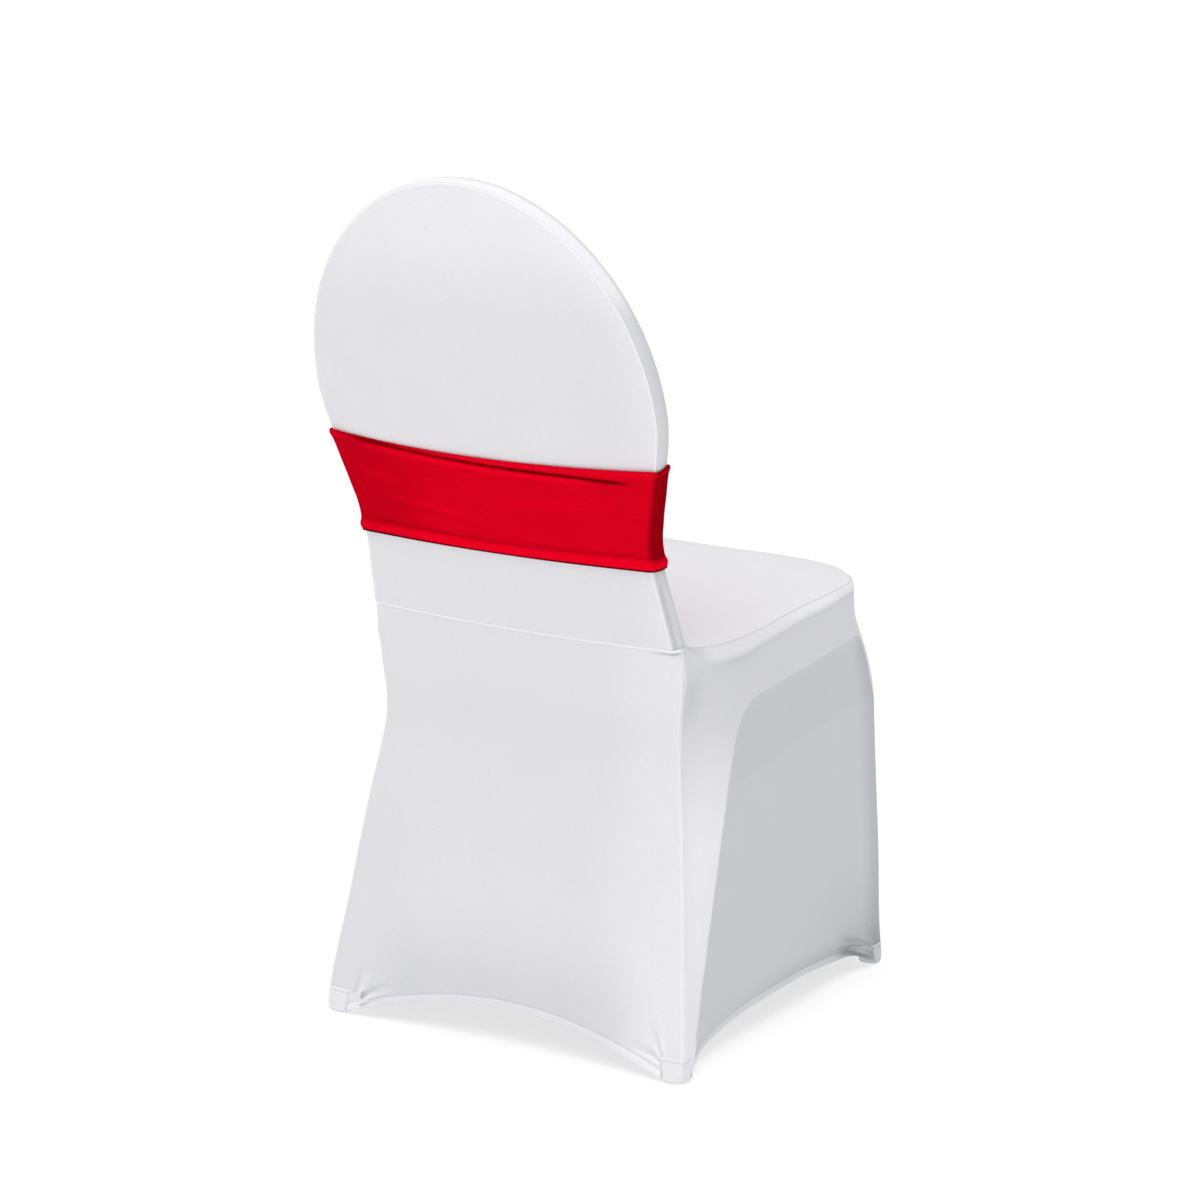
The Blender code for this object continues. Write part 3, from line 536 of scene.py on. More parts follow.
def front_row(down, q):
    """One row of the front skirt: q is -1 to 1 between the legs and 2 at the corner seams."""
    at = {name: float(curve(down)) for name, curve in SKIRT.items()}
    front = {name: float(curve(down)) for name, curve in FRONT.items()}
    leg_x = at["corner_x"] - front["leg_in"]
    half = [(0, front["middle_y"]), (FRONT_BEND * leg_x, front["bend_y"])]
    half += [(leg_x, front["leg_y"]), (at["corner_x"], at["corner_y"])]
    knots = [(-x, y) for x, y in half[:0:-1]] + half
    u = np.clip(q, -1, 1)
    t = np.clip(np.abs(q) - 1, 0, 1)
    x = leg_x * u + np.sign(q) * front["leg_in"] * t
    lift = arch_share(down) * REAR_ARCH * (1 - np.abs(u)**ARCH_POWER)
    return np.stack([x, spline(*zip(*knots))(x), at["front_z"] + lift], 1)


# Meshes
def add_mesh(name, points, faces, tone, knit, material, thickness=CLOTH):
    """One sheet of cloth on its outer face, given its thickness on the inside."""
    mesh = bpy.data.meshes.new(name)
    placed = np.asarray(points, float) + (0, FRAME_Y, 0)
    mesh.from_pydata(placed.tolist(), [], faces)
    mesh.validate()
    mesh.shade_smooth()
    shade = mesh.attributes.new("tone", "FLOAT", "POINT")
    shade.data.foreach_set("value", np.asarray(tone, np.float32).ravel())
    weave = mesh.attributes.new("knit", "FLOAT_VECTOR", "POINT")
    weave.data.foreach_set("vector", np.asarray(knit, np.float32).ravel())
    mesh.materials.append(material)
    piece = bpy.data.objects.new(name, mesh)
    bpy.context.scene.collection.objects.link(piece)
    solid = piece.modifiers.new("Thickness", "SOLIDIFY")
    solid.thickness = thickness
    solid.offset = -1
    return piece


def grid_faces(rows, columns, flip, keep=None, wrap=False):
    """Quads of a grid of points; keep is a mask of its squares, and wrap joins its last column to its first."""
    index = np.arange(rows * columns).reshape(rows, columns)
    right = np.roll(index, -1, 1) if wrap else index[:, 1:]
    left = index if wrap else index[:, :-1]
    quads = np.stack([left[:-1], right[:-1], right[1:], left[1:]], -1)
    if keep is not None:
        quads = quads[keep]
    quads = quads.reshape(-1, 4)
    return (quads[:, ::-1] if flip else quads).tolist()


def add_grid(name, grid, tone, knit, material, flip, keep=None, wrap=False, thickness=CLOTH):
    """A grid of points as a sheet, without the points that no square uses."""
    rows, columns = grid.shape[:2]
    faces = grid_faces(rows, columns, flip, keep, wrap)
    used = np.unique(np.array(faces))
    place = np.full(rows * columns, -1)
    place[used] = np.arange(len(used))
    faces = place[np.array(faces)].tolist()
    points = grid.reshape(-1, 3)[used]
    tones = np.broadcast_to(tone, grid.shape[:2]).reshape(-1)[used]
    weave = np.column_stack([knit.reshape(-1, 2)[used], np.zeros(len(used))])
    return add_mesh(name, points, faces, tones, weave, material, thickness)


def add_fan(name, loop, rows, centre, height, relief, tone, material, flip):
    """A panel inside a closed outline of (x, z) points, in rings from its edge to its middle.

    height(x, z, ring) gives y, and relief(x, z) moves the cloth square to the panel.
    """
    reach = loop - centre
    flat = centre + reach[None] * rows[:-1, None, None]
    x, z = flat[..., 0], flat[..., 1]
    grid = np.stack([x, height(x, z, rows[:-1, None]), z], -1)
    closed = np.concatenate([grid, grid[:, :1]], axis=1)
    square = normals(closed, wrap=True)[:, :-1]
    sign = 1.0 if flip else -1.0
    square *= np.sign(np.median(square[..., 1])) * sign
    grid = grid + square * relief(x, z)[..., None]
    count = len(loop)
    middle = grid[-1].mean(0)
    points = np.vstack([grid.reshape(-1, 3), middle])
    faces = grid_faces(len(rows) - 1, count, False, wrap=True)
    last = (len(rows) - 2) * count
    hub = len(points) - 1
    faces += [[last + k, last + (k + 1) % count, hub] for k in range(count)]
    a, b, c = points[faces[0][0]], points[faces[0][1]], points[faces[0][2]]
    facing = np.cross(b - a, c - b)[1]
    if (facing > 0) != (sign > 0):
        faces = [f[::-1] for f in faces]
    tones = tone(points[:, 0], points[:, 2])
    weave = np.column_stack([points[:, 0], points[:, 2], np.zeros(len(points))])
    return add_mesh(name, points, faces, tones, weave, material)


def hemmed(grid, square, band=HEM_ROLL):
    """Adds the rolled edge under a skirt's last row: round the fold and up inside."""
    last = grid[-1]
    way = grid[-1] - grid[-2]
    way /= np.linalg.norm(way, axis=1, keepdims=True)
    out = square[-1]
    centre = last - out * band
    extra = []
    for turn in (30, 60, 90, 120, 150, 180):
        angle = math.radians(turn)
        extra.append(centre + out * band * math.cos(angle) + way * band * math.sin(angle))
    for back in (0.0020, 0.0045):
        extra.append(centre - out * band - way * back)
    return np.concatenate([grid, np.array(extra)])


def hem_relief(bottom):
    """The hem's double cloth stands out as a band, with the stitch line pulled in above it."""
    band = HEM_RAISE * smooth(HEM_BAND + 0.0006, HEM_BAND - 0.0014, bottom)
    stitch = HEM_GROOVE * np.exp(-((bottom - HEM_BAND - 0.0004) / 0.0009)**2)
    return band - stitch


# Materials
def node(tree, kind, **values):
    made = tree.nodes.new(kind)
    for name, value in values.items():
        setattr(made, name, value)
    return made


def knit_material(name, colour, shade, stretch, contrast, bump, roughness, sheen, gloss, sheen_tint):
    """Stretch knit: fine broken lines along the panel, slow cloudy tone, a soft bloom at grazing angles."""
    made = bpy.data.materials.new(name)
    made.use_nodes = True
    tree = made.node_tree
    shader = tree.nodes["Principled BSDF"]
    shader.inputs["Roughness"].default_value = roughness
    shader.inputs["Specular IOR Level"].default_value = gloss
    shader.inputs["Sheen Weight"].default_value = sheen
    shader.inputs["Sheen Roughness"].default_value = 0.45
    shader.inputs["Sheen Tint"].default_value = sheen_tint
    weave = node(tree, "ShaderNodeAttribute", attribute_name="knit")
    lines = node(tree, "ShaderNodeMapping")
    lines.inputs["Scale"].default_value = stretch
    tree.links.new(weave.outputs["Vector"], lines.inputs["Vector"])
    fine = node(tree, "ShaderNodeTexNoise")
    fine.inputs["Scale"].default_value = 1.0
    fine.inputs["Detail"].default_value = 3.0
    fine.inputs["Roughness"].default_value = 0.55
    tree.links.new(lines.outputs["Vector"], fine.inputs["Vector"])
    cloud = node(tree, "ShaderNodeTexNoise")
    cloud.inputs["Scale"].default_value = 18.0
    cloud.inputs["Detail"].default_value = 2.0
    tree.links.new(weave.outputs["Vector"], cloud.inputs["Vector"])

    # Tone mixes the darker colour into the full colour: painted shade and painted highlights, and the sheer knit's own
    # darkening where nothing backs it
    tone = node(tree, "ShaderNodeAttribute", attribute_name="tone")
    base = node(tree, "ShaderNodeMix", data_type="RGBA", clamp_factor=False)
    base.inputs["A"].default_value = shade
    base.inputs["B"].default_value = colour
    tree.links.new(tone.outputs["Fac"], base.inputs["Factor"])

    level = node(tree, "ShaderNodeMapRange")
    level.inputs["From Min"].default_value = 0.3
    level.inputs["From Max"].default_value = 0.7
    level.inputs["To Min"].default_value = 1.0 - contrast
    level.inputs["To Max"].default_value = 1.0
    tree.links.new(fine.outputs["Fac"], level.inputs["Value"])
    slow = node(tree, "ShaderNodeMapRange")
    slow.inputs["From Min"].default_value = 0.3
    slow.inputs["From Max"].default_value = 0.7
    slow.inputs["To Min"].default_value = 1.0 - contrast * 0.35
    slow.inputs["To Max"].default_value = 1.0
    tree.links.new(cloud.outputs["Fac"], slow.inputs["Value"])
    both = node(tree, "ShaderNodeMath", operation="MULTIPLY")
    tree.links.new(level.outputs["Result"], both.inputs[0])
    tree.links.new(slow.outputs["Result"], both.inputs[1])
    tint = node(tree, "ShaderNodeVectorMath", operation="SCALE")
    tree.links.new(base.outputs["Result"], tint.inputs[0])
    tree.links.new(both.outputs["Value"], tint.inputs["Scale"])
    tree.links.new(tint.outputs["Vector"], shader.inputs["Base Color"])

    relief = node(tree, "ShaderNodeBump")
    relief.inputs["Strength"].default_value = 0.8
    relief.inputs["Distance"].default_value = bump
    tree.links.new(fine.outputs["Fac"], relief.inputs["Height"])
    tree.links.new(relief.outputs["Normal"], shader.inputs["Normal"])
    return made


WHITE_KNIT = knit_material("white_knit", WHITE, SHADE, (150, 1050, 1), 0.045, 0.00018, 0.80, 0.10, 0.20,
                           (1.0, 1.0, 1.0, 1.0))
RED_KNIT = knit_material("red_knit", RED, DARK_RED, (70, 900, 1), 0.16, 0.00022, 0.62, 0.0, 0.0,
                         (1.0, 0.05, 0.10, 1.0))


# Outer and inside panels of the back
WAIST_PUCKERS = (
    (0.0009, 0.0022, "start", ((0.1790, 0.4530), (0.1700, 0.4590), (0.1600, 0.4660))),
    (-0.0008, 0.0018, "start", ((0.1790, 0.4550), (0.1740, 0.4630), (0.1690, 0.4740))),
    (0.0010, 0.0024, "start", ((-0.1790, 0.4510), (-0.1700, 0.4560), (-0.1590, 0.4600))),
    (-0.0009, 0.0018, "start", ((-0.1790, 0.4520), (-0.1730, 0.4600), (-0.1680, 0.4700))),
)


def waist_level(x):
    return WAIST + WAIST_TILT * x / 0.18


def back_height(x, z, ring):
    return edge_y(z) + dome(x, z, BACK["bulge"](z), ARCH_BULGE)


def back_relief(x, z):
    side = side_distance(x, z)
    low = np.clip(z - waist_level(x), 0, None)
    lines = welt(side, FINE_WELT) - 0.0003 * np.exp(-((side - 0.0042) / 0.0011)**2)
    lines = lines - 0.0002 * np.exp(-((low - 0.0022) / 0.0010)**2) * smooth(0, 0.001, low)
    clear = smooth(0, 0.012, np.minimum(side, low))
    return lines + clear * unevenness(x, z, 0.0006, 3) + folds(x, z, WAIST_PUCKERS) * smooth(0, 0.003, side)


def back_tone(x, z):
    side = side_distance(x, z)
    low = np.clip(z - waist_level(x), 0, None)
    # Painted light: the top of the back lighter, with painted highlights near the right side, along the seam edge and
    # along the waist seam
    tone = 0.72 + 0.17 * smooth(0.78, 0.90, z) + 0.10 * np.exp(-(side / 0.020)**2) * smooth(0.02, -0.15, x)
    tone = tone + 0.20 * np.exp(-((side - 0.0014) / 0.0011)**2)
    return tone + 0.12 * np.exp(-(low / 0.0010)**2)


def closed_loop(waist, over_w):
    """(x, z) round a back panel: up its left side, over its arch, down its right side and along its foot."""
    return np.vstack([over_w, waist[1:-1]])


def back_panels():
    w = steps([0.0, 3.0], 0.0085, 0.0085, 0.01)
    over = np.stack(outline(w), 1)
    foot = waist_point(np.linspace(-1, 1, 120))[:, (0, 2)]
    loop = closed_loop(foot, over)
    ring = 1 - steps([0.0, 1.0], 0.017, 0.0027, 0.045)
    outer = add_fan("Outer_back_panel", loop, ring, np.array([0, 0.665]), back_height, back_relief, back_tone,
                    WHITE_KNIT, True)

    seam = inner_seam(w[::2])[:, (0, 2)]
    foot = seat_rear(np.linspace(-1, 1, 80))[:, (0, 2)]
    loop = closed_loop(foot, seam)
    ring = 1 - steps([0.0, 1.0], 0.022, 0.004, 0.03)

    def height(x, z, r):
        return edge_y(z) - GUSSET + INSIDE_SAG * (1 - r**2)

    def relief(x, z):
        side = side_distance(x, z)
        return welt(side, FINE_WELT) + smooth(0, 0.012, side) * unevenness(x, z, 0.0006, 8)

    inside = add_fan("Inside_back_panel", loop, ring, np.array([0, 0.665]), height, relief,
                     lambda x, z: 0.62 + 0 * x, WHITE_KNIT, False)
    return outer, inside


# Gusset
def gusset():
    w = steps([0.0, 3.0], 0.0056, 0.0028, 0.02)
    share = steps([0.0, 1.0], 0.05, 0.022, 0.16)
    grid = gusset_point(w[:, None], share[None, :])
    across = run(grid, 1)
    along = run(grid, 0)
    end = across[:, -1:] - across
    z = grid[..., 2]
    below_band = smooth(SASH_BOTTOM + 0.01, SASH_BOTTOM - 0.03, z)
    relief = welt(across, FINE_WELT) + welt(end, FINE_WELT)
    middle = 4 * share * (1 - share)
    relief = relief - 0.0011 * below_band * np.exp(-((across - 0.0062) / 0.0022)**2)
    relief = relief + 0.0009 * below_band * np.exp(-((across - 0.0130) / 0.0040)**2)
    relief = relief + unevenness(along, across, 0.0005, 5) * middle[None, :]
    foot = np.minimum(along, along[-1:] - along)
    relief = relief * smooth(0, 0.003, foot)
    grid = grid + normals(grid) * facing_out(grid)[..., None] * relief[..., None]
    # Painted light and shade: the gusset's upward top lighter, its sides darker towards the inner seam, painted shade
    # along its turning edge below the sash and along both seams
    upper = smooth(0.795, 0.840, z)
    tone = (0.56 - 0.24 * share[None, :]) * (1 - upper) + (0.92 - 0.45 * smooth(0.5, 0.95, share[None, :])) * upper
    tone = tone - 0.35 * below_band * np.exp(-((across - 0.0045) / 0.0028)**2) - 0.20 * np.exp(-(end / 0.0009)**2)
    tone = tone - 0.10 * np.exp(-((across - 0.0006) / 0.0007)**2)
    return add_grid("Gusset", grid, tone, np.stack([across, along], -1), WHITE_KNIT, True)


def facing_out(grid):
    """1 where a grid's own normals point away from the middle of the cover, otherwise -1."""
    middle = grid.reshape(-1, 3).mean(0)
    way = (normals(grid) * (grid - middle)).sum(2)
    return np.full(grid.shape[:2], 1.0 if way.mean() > 0 else -1.0)


# Side skirts
SIDE_FOLDS = (
    (0.0010, 0.0016, "start", ((-0.3860, 0.0220), (-0.3560, 0.0300), (-0.2900, 0.0365))),
    (-0.0012, 0.0014, "start", ((-0.3860, 0.0235), (-0.3520, 0.0325), (-0.2800, 0.0420))),
    (0.0010, 0.0016, "start", ((-0.3870, 0.0250), (-0.3500, 0.0355), (-0.2850, 0.0490))),
    (-0.0008, 0.0016, "start", ((-0.3880, 0.0260), (-0.3500, 0.0395), (-0.2980, 0.0570))),
    (0.0005, 0.0022, "start", ((-0.3890, 0.0270), (-0.3560, 0.0450), (-0.3200, 0.0680))),
    (-0.0004, 0.0024, "start", ((-0.3920, 0.0280), (-0.3740, 0.0500), (-0.3560, 0.0780))),
    (0.0007, 0.0030, "start", ((0.0220, 0.0260), (0.0050, 0.0340), (-0.0160, 0.0390))),
    (-0.0006, 0.0024, "start", ((0.0240, 0.0280), (0.0080, 0.0420), (-0.0060, 0.0560))),
)
# Painted shade down the crease from the front foot patch to the foot, as tone along a line
FRONT_CREASE_SHADE = (
    (-0.9, 0.0030, "both", ((-0.3100, 0.0330), (-0.3400, 0.0285), (-0.3580, 0.0215), (-0.3720, 0.0155),
                            (-0.3960, 0.0080))),
)
CORNER_DENT = 0.0014
SIDE_BAND = ((0.0, 0.0195), (0.045, 0.0185), (0.08, 0.0172), (0.12, 0.0142), (0.16, 0.0118), (0.20, 0.0105),
             (0.33, 0.0082))


def front_patch(y, z):
    """The lighter foot patch on the side's front corner, above the crease whose painted shade runs down to the foot."""
    top = 0.0286 + 0.169 * (y + 0.3597)
    crease = 0.0263 + 0.42 * (y + 0.3480)
    inside = smooth(-0.0006, 0.0006, top - z) * smooth(-0.001, 0.002, z - crease) * smooth(-0.355, -0.361, y)
    return inside * (0.14 + 0.10 * smooth(-0.370, -0.405, y))


def side_skirt(name, sign):
    line = steps([0.0, 0.175, 1.0 - HEM_ROLL / SKIRT_DROP], 0.0076, 0.0019, 0.026)
    places = steps([0.0, 3.0, 9.0], 0.062, 0.014, 0.10)
    grid = np.array([side_row(down, places) for down in line])
    grid = blended(grid, line, side_seam(places, sign))
    y, z = grid[..., 1], grid[..., 2]
    top = run(grid, 0)
    bottom = top[-1:] - top
    rear = run(grid, 1)
    front = rear[:, -1:] - rear
    seat = smooth(0.9, 1.6, places)[None, :]
    relief = welt(rear, (0.0060, 0.0005)) + welt(front, CORNER_WELT) + welt(top, WELT)
    fade = smooth(0.010, 0.045, rear) * seat
    band = np.interp(rear, *zip(*SIDE_BAND))
    ease = np.interp(rear, (0.04, 0.10, 0.22), (0.0060, 0.0032, 0.0012))
    drop = z[:1] - z
    lit = smooth(band + ease, band - ease, drop)
    ridge = smooth(0, 0.003, top) * lit * smooth(0.06, 0.16, rear)
    relief = relief + 0.0009 * ridge
    relief = relief + hem_relief(bottom)
    wave = 0.0022 * np.exp(-((z - 0.412) / 0.009)**2)
    relief = relief + 0.0012 * np.exp(-((rear - 0.003) / 0.004)**2 - ((z - 0.412) / 0.010)**2) * smooth(0, 0.002, rear)
    dent = np.exp(-((rear - 0.015) / 0.011)**2) * smooth(0.026, 0.052, top) * smooth(0.102, 0.070, top)
    relief = relief - CORNER_DENT * dent
    relief = relief + folds(y, z, SIDE_FOLDS)
    clear = smooth(0, 0.012, np.minimum(np.minimum(rear, front), np.minimum(top, bottom)))
    relief = relief + clear * unevenness(y, z, 0.0007, 11 if sign > 0 else 12)
    away = normals(grid)
    away *= np.sign(np.median(away[..., 0]))
    grid = grid + away * relief[..., None]
    depth = frame_depth(y, z)
    # Cloth over the frame is lighter towards the bottom; the unbacked cloth inside the frame line is darker: the sheer
    # knit's own darkening with painted shade of the dark inside, painted shade above a faint line where the far rail
    # shows through, and painted shade towards the front corner
    backed = 0.47 + 0.42 * smooth(0.41, 0.22, z)
    second = z - (0.2925 + 0.0155 * (-0.14 - y) / 0.21)
    open_cloth_and_shade = 0.27 + 0.05 * smooth(0.0020, -0.0020, second) - 0.27 * smooth(0.040, 0.010, front)
    inside = smooth(-0.0009, 0.0011, tone_depth(y, z))
    tone = backed * (1 - inside) + open_cloth_and_shade * inside
    # Painted light below the seat seam: a lit band, painted shade beneath it, painted shade right under the seam and a
    # patch of painted shade beside the band
    tone = tone + 0.30 * fade * lit
    tone = tone - 0.10 * fade * np.exp(-((drop - band - 0.0030) / 0.0020)**2)
    tone = tone - 0.50 * np.exp(-(top / 0.0011)**2) * seat
    painted_shade_patch = np.exp(-((rear - 0.085) / 0.035)**2 - ((drop - band - 0.005) / 0.006)**2) * seat
    tone = tone - 0.10 * painted_shade_patch
    # Painted shade in the corner dent and in fold troughs, painted highlight on fold ridges, painted shade down the
    # front crease, round the front foot, low at the front and above the hem
    tone = tone - 0.14 * dent + FOLD_TONE * folds(y, z, SIDE_FOLDS)
    tone = tone + front_patch(y, z) + folds(y, z, FRONT_CREASE_SHADE)
    tone = tone - 0.16 * np.exp(-((y + 0.338) / 0.022)**2 - ((z - 0.038) / 0.014)**2)
    tone = tone - 0.30 * np.exp(-((y + 0.375) / 0.050)**2 - ((z - 0.018) / 0.034)**2)
    tone = tone - 0.10 * smooth(0.16, 0.06, z) * smooth(-0.20, -0.34, y)
    tone = tone - 0.18 * np.exp(-((bottom - 0.010) / 0.010)**2) * smooth(-0.06, -0.22, y)
    # A lighter hem band, painted shade along its stitch line, and a painted highlight on the rear corner seam
    tone = tone + 0.20 * smooth(HEM_BAND + 0.0008, HEM_BAND - 0.0008, bottom)
    tone = tone - 0.10 * np.exp(-((bottom - HEM_BAND - 0.0012) / 0.0010)**2)
    tone = tone + 0.30 * np.exp(-((rear - 0.0014 - wave) / 0.0016)**2)
    tone = np.clip(tone, -0.6, 1.05)
    knit = np.stack([rear, z], -1)
    out = away.copy()
    grid = hemmed(grid, out)
    extra = len(grid) - len(tone)
    tone = np.vstack([tone, np.repeat(tone[-1:], extra, 0)])
    knit = np.concatenate([knit, np.repeat(knit[-1:], extra, 0)])
    rows = np.concatenate([line, np.ones(extra)])
    keep_rows = rows[:-1, None] < POCKET_ROW
    keep_columns = (places[None, :-1] >= 0.97) & (places[None, 1:] <= 8.03)
    lower = (rows[:-1, None] < FRONT_POCKET_ROW) & (places[None, 1:] > 8.03)
    keep = keep_rows | keep_columns | lower
    return add_grid(name, grid * (sign, 1, 1), tone, knit, WHITE_KNIT, sign < 0, keep=keep)


# Back and front skirts
PATCH_X = 0.1772
PATCH_TOP = 0.0262
REAR_FOLDS = (
    (0.0015, 0.0020, "start", ((-0.1930, 0.0240), (-0.1850, 0.0350), (-0.1678, 0.0488))),
    (-0.0018, 0.0018, "start", ((-0.1930, 0.0215), (-0.1790, 0.0300), (-0.1559, 0.0356))),
    (0.0014, 0.0020, "start", ((-0.1930, 0.0190), (-0.1740, 0.0235), (-0.1439, 0.0299))),
    (-0.0014, 0.0018, "start", ((-0.1945, 0.0265), (-0.1860, 0.0450), (-0.1736, 0.0631))),
    (0.0008, 0.0024, "start", ((-0.1965, 0.0280), (-0.1920, 0.0480), (-0.1856, 0.0740))),
    (-0.0020, 0.0018, "start", ((0.1790, 0.0200), (0.1700, 0.0290), (0.1567, 0.0370), (0.1420, 0.0460))),
    (0.0015, 0.0020, "start", ((0.1790, 0.0160), (0.1680, 0.0230), (0.1504, 0.0310), (0.1340, 0.0370))),
    (-0.0017, 0.0017, "start", ((0.1790, 0.0120), (0.1660, 0.0190), (0.1480, 0.0240))),
    (0.0010, 0.0024, "start", ((0.1810, 0.0240), (0.1750, 0.0380), (0.1640, 0.0560))),
    (-0.0008, 0.0022, "start", ((0.1850, 0.0270), (0.1820, 0.0450), (0.1750, 0.0700))),
)
REAR_WAIST_FOLDS = (
    (0.0010, 0.0022, "start", ((0.1800, 0.4500), (0.1760, 0.4460), (0.1700, 0.4430))),
    (-0.0010, 0.0020, "start", ((-0.1830, 0.4450), (-0.1740, 0.4450), (-0.1600, 0.4465))),
    (0.0011, 0.0022, "start", ((-0.1830, 0.4485), (-0.1750, 0.4475), (-0.1640, 0.4485))),
)


def patch_tone(x, z):
    """The rear left foot patch sits wholly on the back: lighter cloth with a sewn edge beside its pocket, painted shade
    along its top seam and down its side edge.
    """
    inside = smooth(PATCH_X - 0.0006, PATCH_X + 0.0006, x) * smooth(PATCH_TOP + 0.0006, PATCH_TOP - 0.0006, z)
    seam = np.exp(-((z - PATCH_TOP) / 0.0008)**2) * smooth(PATCH_X - 0.001, PATCH_X, x)
    side = np.exp(-((x - PATCH_X) / 0.0010)**2) * smooth(PATCH_TOP + 0.001, PATCH_TOP, z)
    return 0.14 * inside - 0.26 * seam - 0.55 * side


def skirt_between(name, rows_of, seam, table, outward_sign, seed):
    """The back or the front skirt, from corner seam to corner seam."""
    line = steps([0.0, 1.0 - HEM_ROLL / SKIRT_DROP], 0.0085, 0.0019, 0.030)
    corner = steps([0.0, 1.0], 0.06, 0.035, 0.2)
    middle = steps([-1.0, 1.0], 0.020, 0.012, 0.08)
    q = np.concatenate([-2 + corner[:-1], middle, (2 - corner[::-1])[1:]])
    grid = np.array([rows_of(down, q) for down in line])
    if seam is not None:
        grid = blended(grid, line, seam(q))
    x, z = grid[..., 0], grid[..., 2]
    top = run(grid, 0)
    bottom = top[-1:] - top
    left = run(grid, 1)
    right = left[:, -1:] - left
    relief = welt(left, CORNER_WELT) + welt(right, CORNER_WELT) + welt(top, (0.0030, 0.0009))
    relief = relief - 0.0004 * np.exp(-((top - 0.0042) / 0.0012)**2)
    relief = relief + hem_relief(bottom)
    relief = relief + folds(x, z, table)
    clear = smooth(0, 0.012, np.minimum(np.minimum(left, right), np.minimum(top, bottom)))
    relief = relief + clear * unevenness(x, z, 0.0008, seed)
    away = normals(grid)
    away *= outward_sign * np.sign(np.median(away[..., 1]))
    grid = grid + away * relief[..., None]
    edge = np.minimum(left, right)
    # Lighter at the top and darker low between the legs: the sheer knit's own darkening with painted shade of the dark
    # inside; darker low on the left
    tone = 0.66 + 0.06 * smooth(0.33, 0.42, z) - 0.22 * smooth(0.16, 0.05, z) * smooth(0.03, 0.10, edge)
    tone = tone - 0.09 * smooth(0.10, 0.18, x) * smooth(0.35, 0.15, z)
    # Painted shadow under the waist seam at its right end, painted highlights on the corner seams and along the waist
    # seam; lighter towards the right
    tone = tone - 0.40 * np.exp(-((top - 0.0058) / 0.0014)**2) * smooth(-0.150, -0.168, x)
    tone = tone + 0.22 * np.exp(-(edge / 0.0013)**2) + 0.10 * smooth(-0.08, -0.16, x)
    tone = tone + 0.55 * np.exp(-((top - 0.0012) / 0.0010)**2)
    # A lighter hem band, painted shade along its stitch line, and painted shade and highlight on the folds
    tone = tone + 0.20 * smooth(HEM_BAND + 0.0008, HEM_BAND - 0.0008, bottom)
    tone = tone - 0.10 * np.exp(-((bottom - HEM_BAND - 0.0012) / 0.0010)**2)
    tone = np.clip(tone + FOLD_TONE * folds(x, z, table) + patch_tone(x, z) * (outward_sign > 0), -0.6, 1.05)
    knit = np.stack([left, z], -1)
    grid = hemmed(grid, away)
    extra = len(grid) - len(tone)
    tone = np.vstack([tone, np.repeat(tone[-1:], extra, 0)])
    knit = np.concatenate([knit, np.repeat(knit[-1:], extra, 0)])
    rows = np.concatenate([line, np.ones(extra)])
    keep_rows = rows[:-1, None] < (POCKET_ROW if outward_sign > 0 else FRONT_POCKET_ROW)
    keep_columns = (q[None, :-1] >= -1.001) & (q[None, 1:] <= 1.001)
    return add_grid(name, grid, tone, knit, WHITE_KNIT, outward_sign < 0, keep=keep_rows | keep_columns)


# Seat
def seat():
    t = steps([0.0, 1.0], 0.011, 0.006, 0.03)
    s = steps([0.0, 1.0], 0.011, 0.006, 0.03)
    u = 2 * s - 1
    rear = seat_rear(u)
    q = np.interp(s, (0, 1 / 16, 15 / 16, 1), (-2, -1, 1, 2))
    front = front_row(0.0, q)
    left = side_seam(1 + 8 * t, 1)
    right = side_seam(1 + 8 * t, -1) * (-1, 1, 1)
    a, b = s[None, :, None], t[:, None, None]
    grid = (1 - b) * rear[None] + b * front[None] + (1 - a) * right[:, None] + a * left[:, None]
    grid = grid - ((1 - a) * (1 - b) * rear[0] + a * (1 - b) * rear[-1] + (1 - a) * b * front[0] + a * b * front[-1])
    grid[..., 2] += CROWN * (1 - u[None]**4) * (t - t**4)[:, None]
    across = run(grid, 1)
    ahead = run(grid, 0)
    rim = np.minimum(np.minimum(across, across[:, -1:] - across), np.minimum(ahead, ahead[-1:] - ahead))
    relief = welt(rim, FINE_WELT) + smooth(0, 0.012, rim) * unevenness(grid[..., 0], grid[..., 1], 0.0006, 21)
    away = normals(grid)
    away *= np.sign(np.median(away[..., 2]))
    grid = grid + away * relief[..., None]
    return add_grid("Sitting_panel", grid, 0.64, np.stack([across, ahead], -1), WHITE_KNIT, True)


# Foot pockets
def pocket_corners(z, rear, grow):
    """(x0, x1, y0, y1) of the pocket at +X at a height."""
    down = 1 - (z - HEM_HEIGHT) / SKIRT_DROP
    x = float(SKIRT["rear_x" if rear else "corner_x"](down))
    y = float(SKIRT["rear_y" if rear else "corner_y"](down))
    width = REAR_POCKET_WIDTH if rear else FRONT_POCKET_WIDTH
    depth = REAR_POCKET_DEPTH if rear else FRONT_POCKET_DEPTH
    if rear:
        return x - width - grow, x + POCKET_PROUD + grow, y - depth - grow, y + POCKET_PROUD + grow
    return x - width - grow, x + POCKET_PROUD + grow, y - POCKET_PROUD - grow, y + depth + grow


